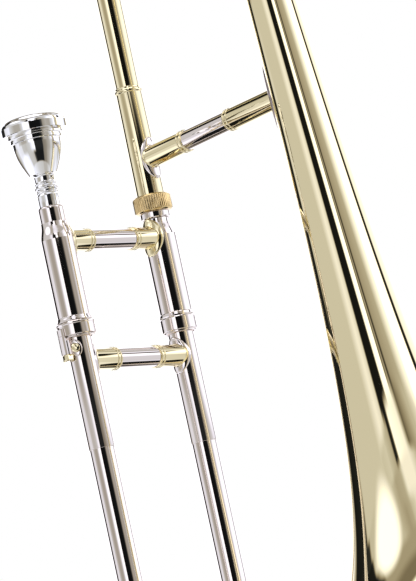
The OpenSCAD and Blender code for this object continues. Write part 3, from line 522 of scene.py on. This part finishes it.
# ---------------------------------------------------------------- neck
def make_neck():
    low = TENON_TOP + 1.2
    path = []
    for i in range(21):
        z = low + (NECK_BEND_Z - low) * i / 20
        r = NECK_LOW_R if z < SLEEVE_TOP_Z else NECK_LOW_R + (NECK_HIGH_R - NECK_LOW_R) * (z - SLEEVE_TOP_Z) / (NECK_BEND_Z - SLEEVE_TOP_Z)
        path.append((shift(0, 0, z), r))
    for i in range(1, 25):
        a = BELL_TILT * i / 24
        turn = shift(-NECK_BEND_R, 0, NECK_BEND_Z) @ Matrix.Rotation(-a, 4, "Y") @ shift(NECK_BEND_R, 0, 0)
        path.append((turn, NECK_HIGH_R))
    sides = 96
    rings = []
    for inside in (False, True):
        for matrix, r in (reversed(path) if inside else path):
            q = r - NECK_WALL if inside else r
            ring = [matrix @ (Vector((q * math.cos(math.tau * i / sides), q * math.sin(math.tau * i / sides), 0)) * MM)
                    for i in range(sides)]
            rings.append([p / MM for p in ring])
    Shape().rings(rings, BELL_PLANE, loop=True).make("neck_tube", BRASS, ["neckpipe", "gooseneck"])
    Shape().lathe([
        (NECK_LOW_R - 0.02, low), (8.1, low), (7.5, SLEEVE_TOP_Z - 3.6), (7.65, SLEEVE_TOP_Z - 3.4), (8.05, SLEEVE_TOP_Z - 3.0),
        (8.1, SLEEVE_TOP_Z - 2.3), (8.05, SLEEVE_TOP_Z - 1.7), (7.65, SLEEVE_TOP_Z - 1.3), (7.5, SLEEVE_TOP_Z - 1.1),
        (7.45, SLEEVE_TOP_Z), (NECK_LOW_R - 0.02, SLEEVE_TOP_Z)], LOWER).make("neck_collar", BRASS, ["neck_sleeve"])


make_neck()


def make_bell_brace():
    to_neck = BELL_PLANE.inverted() @ ALONG_BRACE

    def from_neck(radius):
        def surface(y, z):
            # the socket's +X is the brace's +Z, so its z is the brace's -x
            lo, hi = 0.0, 30.0
            for _ in range(40):
                mid = (lo + hi) / 2
                p = to_neck @ (Vector((-z, y, mid)) * MM) / MM
                lo, hi = (mid, hi) if math.hypot(p.x, p.y) < radius else (lo, mid)
            return hi
        return surface

    swing = ALONG_BRACE @ Matrix.Rotation(-math.pi / 2, 4, "Y")
    sockets = Shape()
    socket(sockets, swing, from_neck(8.1 + 0.9), SOCKET_LEFT_END)
    far = RIM_TO_BRACE - BELL_BRACE_LEN * math.sin(BRACE_LEAN)
    bell_gap = bell_radius(far) + 0.9

    def from_bell(y, z):
        q = bell_radius(far + z) + 0.9
        return math.sqrt(q * q - y * y) + z * math.sin(BRACE_LEAN)

    on_bell = BELL_AXIS @ shift(0, 0, far) @ FLIP
    other = on_bell @ Matrix.Rotation(-BRACE_LEAN, 4, "Y")
    socket(sockets, other, from_bell, BELL_BRACE_LEN - SOCKET_RIGHT_START, bell_gap)
    sockets.make("bell_brace_collars", BRASS, ["bell_brace_sockets"])
    Shape().pipe(BRACE_R, BRACE_R - BRACE_WALL, SOCKET_LEFT_END - 7, SOCKET_RIGHT_START + 7, ALONG_BRACE).make(
        "bell_brace_bar", NICKEL, ["bell_brace_tube"])
    Shape().saddle(lambda z: 8.1 - 0.6 * (BELL_BRACE_Z + z - 22.2) / (86.4 - 22.2), 1.1, 12.8, 25,
                   BELL_PLANE @ shift(0, 0, BELL_BRACE_Z)).make("neck_saddle", NICKEL, ["neck_brace_saddle"])
    # the bell saddle gets the darker nickel with painted shade, for the dark reflection on it
    Shape().saddle(lambda z: bell_radius(far + z), 1.1, 24, 48, on_bell).make(
        "bell_saddle", PAINTED_SHADE_NICKEL, ["bell_brace_flange"])


make_bell_brace()


# ---------------------------------------------------------------- tuning slide
def make_tuning():
    receivers = Shape()
    receivers.pipe(NECK_REC_R, NECK_IN_R, TAIL_T, RECEIVER_END_T, NECK_LEG)
    receivers.pipe(TAIL_R, BELL_IN_R, TAIL_T + 0.05, RECEIVER_END_T, BELL_AXIS)
    receivers.make("tuning_outers", NICKEL, ["tuning_receivers"])
    low, high = TAIL_T - 7, TAIL_T + 7
    ferrules = Shape()
    ferrules.lathe([(NECK_HIGH_R + 0.02, TAIL_T - 2.5), (NECK_HIGH_R + 0.6, TAIL_T - 2.5), (NECK_REC_R + 0.9, TAIL_T),
                    (NECK_REC_R + 0.9, high - 1), (NECK_REC_R + 0.5, high), (NECK_REC_R - 0.02, high),
                    (NECK_REC_R - 0.02, TAIL_T), (NECK_HIGH_R + 0.02, TAIL_T)], NECK_LEG)
    ferrules.lathe([(TAIL_R - 0.02, low), (TAIL_R + 0.5, low), (TAIL_R + 0.9, low + 1), (TAIL_R + 0.9, high - 1),
                    (TAIL_R + 0.5, high), (TAIL_R - 0.02, high)], BELL_AXIS)
    ferrules.make("receiver_rings", NICKEL, ["receiver_ferrules"])
    flanges = Shape()
    leg = NECK_LEG @ shift(0, 0, UPPER_BRACE_T)
    bell = BELL_AXIS @ shift(0, 0, UPPER_BRACE_T) @ FLIP
    flanges.saddle(lambda z: NECK_REC_R, 0.9, 13, 20, leg)
    flanges.saddle(lambda z: TAIL_R, 0.9, 16, 20, bell)
    socket(flanges, leg, round_surface(NECK_REC_R + 0.85), NECK_REC_R + 16, NECK_REC_R + 0.9)
    socket(flanges, bell, round_surface(TAIL_R + 0.85), TAIL_R + 16, TAIL_R + 0.9)
    flanges.make("upper_brace_collars", BRASS, ["upper_brace_flanges"])
    Shape().pipe(BRACE_R, BRACE_R - BRACE_WALL, NECK_REC_R + 9, LEG_GAP - TAIL_R - 9, leg @ TURN_X).make(
        "upper_brace_bar", NICKEL, ["upper_brace_tube"])

    neck_r, bell_r = NECK_IN_R - LEG_FIT, BELL_IN_R - LEG_FIT
    legs = Shape()
    legs.pipe(neck_r, neck_r - LEG_WALL, RECEIVER_END_T - 78, LEG_TOP_T + 10, NECK_LEG)
    legs.pipe(bell_r, bell_r - LEG_WALL, RECEIVER_END_T - 78, LEG_TOP_T + 10, BELL_AXIS)
    legs.make("tuning_inners", NICKEL, ["tuning_legs"])
    rings = Shape()
    for r, matrix in ((neck_r, NECK_LEG), (bell_r, BELL_AXIS)):
        rings.lathe([(r - 0.02, 0), (r + 1, 0), (r + 1.4, 0.5), (r + 1.5, 1.7), (r + 1.4, 2.9), (r + 1, 3.4), (r + 1, 12.6),
                     (r + 1.35, 12.9), (r + 1.5, 13.6), (r + 1.4, 14.3), (r + 1.1, 15), (r - 0.02, 15)], matrix @ shift(0, 0, LEG_TOP_T))
    rings.make("tuning_rings", NICKEL, ["tuning_ferrules"])

    bow_r = LEG_GAP / 2
    stations = [(0, -(BOW_T - LEG_TOP_T - 10))] + [(math.pi * i / 96, 0) for i in range(97)] + [(math.pi, -(BOW_T - LEG_TOP_T - 10))]
    sides = 72
    skin = []
    for inside in (0, BOW_WALL):
        for turn, drop in (reversed(stations) if inside else stations):
            q = bell_r + (neck_r - bell_r) * turn / math.pi - inside
            skin.append([((bow_r + q * math.cos(a)) * math.cos(turn), q * math.sin(a), (bow_r + q * math.cos(a)) * math.sin(turn) + drop)
                         for a in (math.tau * i / sides for i in range(sides))])
    Shape().rings(skin, BELL_AXIS @ shift(-bow_r, 0, BOW_T), loop=True).make("tuning_crook", BRASS, ["tuning_bow"])

    mid = NECK_LEG @ shift(0, 0, TUNING_BRACE_T)
    brace = Shape()
    brace.saddle(lambda z: neck_r, 0.9, 11, 15, mid)
    brace.saddle(lambda z: bell_r, 0.9, 13, 15, NECK_LEG @ shift(LEG_GAP, 0, TUNING_BRACE_T) @ FLIP)
    start, end = neck_r + 0.45, LEG_GAP - bell_r - 0.45
    brace.lathe([(0, start), (4.6, start), (4.25, start + 0.9), (4.0, start + 1.8), (4.0, end - 1.8), (4.25, end - 0.9),
                 (4.6, end), (0, end)], mid @ TURN_X, radius=0)
    brace.make("tuning_brace_rod", NICKEL, ["tuning_brace"])
    centre = mid @ shift(LEG_GAP / 2 - WEIGHT_LEN / 2, 0, 0) @ TURN_X
    Shape().lathe([(4.02, 0), (WEIGHT_R - 2.4, 0), (WEIGHT_R - 1.4, 0.2), (WEIGHT_R - 0.5, 0.9), (WEIGHT_R, 2.2),
                   (WEIGHT_R, 8.4), (WEIGHT_R - 0.3, 8.8), (WEIGHT_R, 9.2), (WEIGHT_R, WEIGHT_LEN - 9.2),
                   (WEIGHT_R - 0.3, WEIGHT_LEN - 8.8), (WEIGHT_R, WEIGHT_LEN - 8.4), (WEIGHT_R, WEIGHT_LEN - 2.2),
                   (WEIGHT_R - 0.5, WEIGHT_LEN - 0.9), (WEIGHT_R - 1.4, WEIGHT_LEN - 0.2), (WEIGHT_R - 2.4, WEIGHT_LEN),
                   (4.02, WEIGHT_LEN)], centre, radius=0.15).make("balance_weight", BRASS, ["counterweight"])


make_tuning()


# ---------------------------------------------------------------- slide
BOTH = (UPPER, LOWER)
SEAT_BOTTOM, PLUG_BOTTOM = -14.0, -8.0
SHOULDER_TOP, SHOULDER_BOTTOM = 10.0, 2.0
COLLAR_TOP, COLLAR_BOTTOM, BARREL_BOTTOM = -45.0, -56.0, -57.0
INNER_END = CROOK_Z + 12
TENON_BOTTOM = PLUG_BOTTOM + 4


def make_slide_tubes():
    inner = (("inner_tube_a", UPPER, PLUG_BOTTOM, "inner_tube_upper"),
             ("inner_tube_b", LOWER, TENON_BOTTOM - 0.4, "inner_tube_lower"))
    for name, side, top, node in inner:
        Shape().pipe(INNER_R, BORE_R, INNER_END, top, side).make(name, CHROME, [node])
    stockings = Shape()
    for side in BOTH:
        stockings.pipe(OUTER_IN_R - 0.08, INNER_R - 0.02, INNER_END, INNER_END + 120, side, radius=0.05)
    stockings.make("slide_stockings", CHROME, ["stockings"])
    for name, side, node in (("outer_tube_a", UPPER, "outer_tube_upper"), ("outer_tube_b", LOWER, "outer_tube_lower")):
        Shape().pipe(OUTER_R, OUTER_IN_R, CROOK_Z, OUTER_TOP, side, radius=0.08).make(name, NICKEL, [node])
    for name, side, node in (("sleeve_a", UPPER, "outer_sleeve_upper"), ("sleeve_b", LOWER, "outer_sleeve_lower")):
        Shape().lathe([(OUTER_R - 0.02, SLEEVE_BOTTOM), (SLEEVE_R - 0.1, SLEEVE_BOTTOM), (SLEEVE_R, SLEEVE_BOTTOM + 0.6),
                       (SLEEVE_R, OUTER_TOP), (OUTER_R - 0.02, OUTER_TOP)], side, radius=0.12).make(name, NICKEL, [node])


make_slide_tubes()


def barrel_radius(z):
    """The outside of a cork barrel, with its S-shaped shoulder."""
    part = min(1, max(0, (z - SHOULDER_BOTTOM + 1.5) / 10.3))
    return BARREL_R - (BARREL_R - RECEIVER_R - 0.3) * (1 - math.cos(math.pi * part)) / 2


def make_barrels():
    shoulder = [(barrel_radius(z), z) for z in (SHOULDER_BOTTOM - 1.5 + 10.3 * i / 14 for i in range(15))]
    barrel = [(RECEIVER_R - 0.02, PLUG_BOTTOM), (INNER_R, PLUG_BOTTOM), (INNER_R, SEAT_BOTTOM), (BARREL_BORE_R, SEAT_BOTTOM),
              (BARREL_BORE_R, BARREL_BOTTOM + 1), (BARREL_BORE_R + 0.4, BARREL_BOTTOM), (BARREL_R, BARREL_BOTTOM)]
    barrel += shoulder + [(RECEIVER_R + 0.3, SHOULDER_TOP - 0.2), (RECEIVER_R - 0.02, SHOULDER_TOP)]
    Shape().lathe(barrel, UPPER, radius=0.3).make("barrel_a", NICKEL, ["cork_barrel_upper"])
    Shape().lathe(barrel, LOWER, radius=0.3).make("barrel_b", NICKEL, ["cork_barrel_lower"])
    r = BARREL_R
    beads = Shape()
    beads.lathe([(r - 0.02, COLLAR_TOP - 2.8), (r + 0.9, COLLAR_TOP - 2.8), (r + 0.9, COLLAR_TOP - 2.2), (r + 0.5, COLLAR_TOP - 1.1),
                 (r + 0.35, COLLAR_TOP), (r - 0.02, COLLAR_TOP)], UPPER)
    beads.pipe(r + 0.9, r - 0.02, BARREL_BOTTOM, COLLAR_BOTTOM - 0.3, UPPER, radius=0.25)
    beads.make("lock_ring_beads", NICKEL, ["lock_ring_retainers"])
    Shape().lathe([(r - 0.02, COLLAR_BOTTOM), (r + 0.7, COLLAR_BOTTOM), (r + 0.9, COLLAR_BOTTOM + 0.4), (r + 0.9, COLLAR_TOP - 3.4),
                   (r + 0.5, COLLAR_TOP - 2.8), (r + 0.75, COLLAR_TOP - 2), (r + 0.5, COLLAR_TOP - 0.6), (r - 0.02, COLLAR_TOP)],
                  LOWER).make("barrel_collar", NICKEL, ["barrel_collar_lower"])
    Shape().lathe([(LEADPIPE_R - 0.02, PLUG_BOTTOM), (RECEIVER_R, PLUG_BOTTOM), (RECEIVER_R, RECEIVER_TOP - 1.4),
                   (RECEIVER_R, RECEIVER_TOP - 1), (RECEIVER_R - 0.1, RECEIVER_TOP - 0.5), (RECEIVER_R - 0.4, RECEIVER_TOP),
                   (LEADPIPE_R - 0.02, RECEIVER_TOP)], UPPER).make("mouthpiece_socket", NICKEL, ["mouthpiece_receiver"])
    body = [(INNER_R, PLUG_BOTTOM), (RECEIVER_R, PLUG_BOTTOM), (RECEIVER_R, SHOULDER_TOP + 0.8), (THREAD_R - 0.1, SHOULDER_TOP + 1.2),
            (THREAD_R + 0.2, SHOULDER_TOP + 1.6), (THREAD_R + 0.2, NUT_Z - NUT_H / 2 - 0.4), (THREAD_R - 0.35, NUT_Z - NUT_H / 2 - 0.3)]
    z = NUT_Z - NUT_H / 2
    while z < TENON_TOP - 1.0:
        body += [(THREAD_R - 0.35, z), (THREAD_R, z + 0.3), (THREAD_R, z + 0.7), (THREAD_R - 0.35, z + 1.0)]
        z += 1.2
    body += [(THREAD_R - 0.35, TENON_TOP - 0.3), (7.0, TENON_TOP - 0.3), (6.71, TENON_BOTTOM - 0.3), (INNER_R, TENON_BOTTOM - 0.3)]
    Shape().lathe(body, LOWER, radius=0.12, steps=2).make("bell_socket", NICKEL, ["bell_receiver"])


make_barrels()


def make_braces():
    sockets = Shape()
    for turn in (NONE, FLIP):
        matrix = turn @ shift(-TUBE_X, 0, 0)
        socket(sockets, matrix, round_surface(BARREL_R + 0.85), BARREL_R + 16, BARREL_R + 0.9)
        sockets.saddle(barrel_radius, 0.9, 16, 22, matrix)
    sockets.make("inner_brace_collars", BRASS, ["inner_brace_sockets"])
    reach = TUBE_X - BARREL_R - 9
    Shape().pipe(BRACE_R, BRACE_R - BRACE_WALL, -reach, reach, TURN_X).make("inner_brace_bar", NICKEL, ["inner_brace_tube"])

    sockets, flanges = Shape(), Shape()
    for turn in (NONE, FLIP):
        matrix = turn @ shift(-TUBE_X, 0, OUTER_BRACE_Z)
        socket(sockets, matrix, round_surface(SLEEVE_R + 0.85), SLEEVE_R + 19, SLEEVE_R + 0.9)
        flanges.saddle(lambda z: SLEEVE_R, 0.9, 14.2, 21.5, matrix)
    sockets.make("outer_brace_collars", BRASS, ["outer_brace_sockets"])
    flanges.make("outer_brace_saddles", NICKEL, ["outer_brace_flanges"])
    reach = TUBE_X - SLEEVE_R - 12
    Shape().pipe(BRACE_R, BRACE_R - BRACE_WALL, -reach, reach, shift(0, 0, OUTER_BRACE_Z) @ TURN_X).make(
        "outer_brace_bar", NICKEL, ["outer_brace_tube"])


make_braces()


def make_crook():
    sides = 72
    skin = []
    turns = [math.pi * i / 120 for i in range(121)]
    for r in (OUTER_R, OUTER_IN_R):
        for turn in (turns if r == OUTER_R else reversed(turns)):
            ring = []
            for i in range(sides):
                a = math.tau * i / sides
                q = TUBE_X + r * math.cos(a)
                ring.append((q * math.cos(turn), r * math.sin(a), CROOK_Z - q * math.sin(turn)))
            skin.append(ring)
    Shape().rings(skin, loop=True).make("crook_tube", BRASS, ["end_crook"])
    ferrules = Shape()
    h = 15
    for side in BOTH:
        ferrules.lathe([(OUTER_R - 0.02, 0.3), (FERRULE_R - 0.4, 0.3), (FERRULE_R - 0.1, 0.6), (FERRULE_R, 1.5), (FERRULE_R - 0.1, 2.3),
                        (FERRULE_R - 0.4, 2.6), (FERRULE_R - 0.4, h - 2.6), (FERRULE_R - 0.1, h - 2.3), (FERRULE_R, h - 1.5),
                        (FERRULE_R - 0.1, h - 0.7), (FERRULE_R - 0.4, h), (OUTER_R - 0.02, h)], side @ shift(0, 0, CROOK_Z), radius=0.15)
    ferrules.make("crook_rings", NICKEL, ["crook_ferrules"])
    low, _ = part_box("rubber_tip")
    foot = low.z / MM
    Shape().lathe([(0, foot), (4.5, foot), (5.7, foot + 0.5), (6.3, foot + 2), (6.5, foot + 3.5), (6.5, foot + 5.4), (6.2, foot + 5.7),
                   (6.2, foot + 6.1), (6.5, foot + 6.4), (6.5, foot + 8.2), (6.0, foot + 9), (0, foot + 9)],
                  radius=0.5, steps=4).make("rubber_foot_tip", RUBBER, ["rubber_tip"])


make_crook()


# ---------------------------------------------------------------- mouthpiece
def arc(r, z, size, start, end, steps=8):
    """Points on a circle round (r, z), from one angle to the other, in degrees."""
    return [(r + size * math.cos(math.radians(start + (end - start) * i / steps)),
             z + size * math.sin(math.radians(start + (end - start) * i / steps))) for i in range(steps + 1)]


def make_mouthpiece():
    base = RECEIVER_TOP
    rim, cup = 19.2, 12.7
    shank = rounded([(4.9, -26), (5.55, -26), (6.18, -0.2), (6.15, 6.4), (6.3, 6.9)], 0.2, 2)[:-1]
    beads = arc(5.6, 8.3, 0.8, -60, 60) + arc(5.55, 11.0, 1.3, -62, 62) + arc(5.55, 13.5, 0.85, -60, 60)
    outside = beads + [(5.8, 14.6), (5.8, 14.9), (5.8, 17.3), (5.84, 17.6), (6.1, 18.1), (6.5, 18.5)]
    bowl_out = [(6.4 + 7.8 * math.sin(math.radians(10 + 80 * i / 24)), 18.3 + 20.4 * i / 24) for i in range(1, 25)]
    rings = [(14.5, 38.4), (15.1, 38.45), (15.3, 38.65), (15.3, 39.95), (14.95, 40.15), (14.95, 40.9), (15.95, 41.0),
             (16.2, 41.15), (16.2, 42.15), (15.9, 42.35), (15.9, 43.1), (rim - 0.2, 43.2), (rim, 43.35),
             (rim, 43.6), (rim + 0.09, 47.6), (rim + 0.09, 47.75), (rim + 0.05, 48.0)]
    rings += [(rim - 4.7 + 4.7 * math.cos(math.radians(90 * i / 20)), 48.0 + 4.2 * math.sin(math.radians(90 * i / 20)))
              for i in range(1, 21)]
    rings += [(rim - 5.0, 52.18), (cup + 1.25, 51.9)] + arc(cup + 1.2, 50.7, 1.2, 95, 175)
    bowl = [(cup * math.cos(math.radians(80 * i / 24)) + 0.6 * math.sin(math.radians(80 * i / 24)),
             49.6 - 21.1 * math.sin(math.radians(80 * i / 24))) for i in range(1, 25)]
    throat = [(3.25, 27.6), (3.3, 26.4), (3.22, 24.5), (3.2, 20.4)]
    profile = [(r, base + z) for r, z in shank + outside + bowl_out + rings + bowl + throat]
    Shape().lathe(profile, UPPER, sides=160, radius=0).make("mouthpiece_cup_and_shank", SILVER, ["mouthpiece"], sharp=30)


make_mouthpiece()


# ---------------------------------------------------------------- nut
def make_nut():
    low, high = NUT_Z - NUT_H / 2, NUT_Z + NUT_H / 2
    roof = TENON_TOP + 1.5
    levels = [(THREAD_R + 0.1, low + 0.3, 0), (THREAD_R + 0.4, low, 0), (NUT_R - 1.35, low, 0), (NUT_R - 1.0, low + 0.15, 0),
              (NUT_R - 0.35, low + 0.8, 0), (NUT_R - 0.22, low + 1.0, 0.3), (NUT_R, low + 1.35, 1), (NUT_R, high - 1.35, 1),
              (NUT_R - 0.22, high - 1.0, 0.3), (NUT_R - 0.35, high - 0.8, 0), (NUT_R - 1.0, high - 0.15, 0), (NUT_R - 1.35, high, 0),
              (8.4, high, 0), (8.2, high - 0.2, 0), (8.2, roof, 0), (THREAD_R + 0.1, roof, 0)]
    rings = []
    steps = NUT_TEETH * 4
    depth = (0.0, 0.5, 1.0, 0.5)
    for r, z, tooth in levels:
        ring = []
        for i in range(steps):
            a = math.tau * i / steps
            q = r - tooth * NUT_GROOVE * depth[i % 4]
            ring.append((q * math.cos(a), q * math.sin(a), z))
        rings.append(ring)
    Shape().rings(rings, LOWER, loop=True).make("knurled_nut", KNURL, ["lock_nut"], sharp=60)


make_nut()


# ---------------------------------------------------------------- slide lock
def make_lock():
    r, gap = BARREL_R, 0.08
    bottom, top = COLLAR_BOTTOM, COLLAR_TOP - 2.8 - 0.3
    out, rim = 11.1, 11.4
    ring = Shape()
    ring.lathe([(r + gap, bottom), (out - 0.3, bottom), (out, bottom + 0.3), (out, top - 1.7), (rim, top - 1.2), (rim, top - 0.5),
                (out - 0.2, top), (r + gap, top)], UPPER, radius=0.15)
    arm = UPPER @ Matrix.Rotation(math.radians(170), 4, "Z")

    def plate(shape, half_w, r_in, r_out, levels):
        """A plate bent round the tube: levels are (z, how much narrower and thinner the section is there)."""
        rings = []
        for z, shrink in levels:
            w, a, b = half_w - shrink, r_in + shrink, r_out - shrink
            outline = []
            for q, signs in ((b, (-1, 1)), (a, (1, -1))):
                for k in range(9):
                    y = w * (signs[0] + (signs[1] - signs[0]) * k / 8)
                    edge = 0.25 * (1 if k in (0, 8) else 0)
                    q_here = q - edge if q == b else q + edge
                    outline.append((math.sqrt(q_here * q_here - y * y), y, z))
            rings.append(outline)
        first = [tuple(sum(c) / len(rings[0]) for c in zip(*rings[0]))]
        last = [tuple(sum(c) / len(rings[-1]) for c in zip(*rings[-1]))]
        shape.rings([first] + rings + [last], arm)

    plate(ring, 2.9, out - 0.8, out + 1.4, [(-55.6, 0.2), (-55.4, 0.0), (top - 3.4, 0.0), (top - 3.1, 0.25)])
    plate(ring, 2.9, out, out + 1.4, [(-66.3, 0.2), (-66.1, 0.0), (-55.7, 0.0), (-55.5, 0.2)])
    ring.make("lock_ring", NICKEL, ["slide_lock_ring"])
    tip = Shape()
    plate(tip, 2.9, SLEEVE_R + 0.8 + 0.4, out + 1.4 - 0.3, [(-70, 0.3), (-69.7, 0.0), (-66.7, 0.0), (-66.3, 0.15)])
    tip.make("lock_tip", BRASS, ["slide_lock_tip"])
    stop = UPPER @ Matrix.Rotation(math.radians(206.4), 4, "Z")
    Shape().saddle(lambda z: SLEEVE_R, 0.8, 6.6, 9.6, stop @ shift(0, 0, -63.4)).make("lock_foot", NICKEL, ["lock_post"])
    Shape().lathe([(0, 0), (1.7, 0), (1.7, 0.5), (2.4, 0.75), (2.6, 1.1), (2.5, 1.5), (1.9, 1.85), (1.0, 2.08), (0, 2.15)],
                  stop @ shift(SLEEVE_R + 0.8, 0, -63.3) @ TURN_X, sides=64, radius=0.1).make("lock_button", BRASS, ["lock_knob"])


make_lock()


# ---------------------------------------------------------------- CAD nodes that stay
def dress(materials):
    """Gives the CAD nodes that stay a better material."""
    for material, names in materials:
        for name in names:
            o = frame["nodes"][name]
            o.data.materials.clear()
            o.data.materials.append(material)


dress([
    (BRASS, ["water_key_nipple", "water_key_bracket", "water_key_lever", "leadpipe"]),
    (NICKEL, ["crook_bumper", "neck_tenon"]),
    (STEEL, ["water_key_pin", "water_key_spring", "counterweight_screw"]),
    (CORK, ["barrel_corks", "water_key_cork"]),
])


# ---------------------------------------------------------------- floor
def make_stage():
    low, _ = cad_box
    half = 14.0
    mesh = bpy.data.meshes.new("floor")
    mesh.from_pydata([(-half, -half, 0), (half, -half, 0), (half, half, 0), (-half, half, 0)], [], [(0, 1, 2, 3)])
    floor = bpy.data.objects.new("floor", mesh)
    floor.location.z = low.z - 0.0005
    bpy.context.scene.collection.objects.link(floor)
    m = bpy.data.materials.new("pale_floor")
    m.use_nodes = True
    n = Nodes(m.node_tree)
    m.node_tree.nodes.clear()
    place = n.add("ShaderNodeTexCoord").outputs["Object"]
    cloud = n.add("ShaderNodeTexNoise", {"Vector": place, "Scale": 2.0, "Detail": 2.0}).outputs[0]
    base = n.ramp(cloud, [(0.3, 0.88), (0.7, 0.91)])
    shader = n.add("ShaderNodeBsdfPrincipled", {"Base Color": base, "Roughness": 0.8})
    n.add("ShaderNodeOutputMaterial", {"Surface": shader.outputs[0]})
    mesh.materials.append(m)
    floor.visible_glossy = False


make_stage()
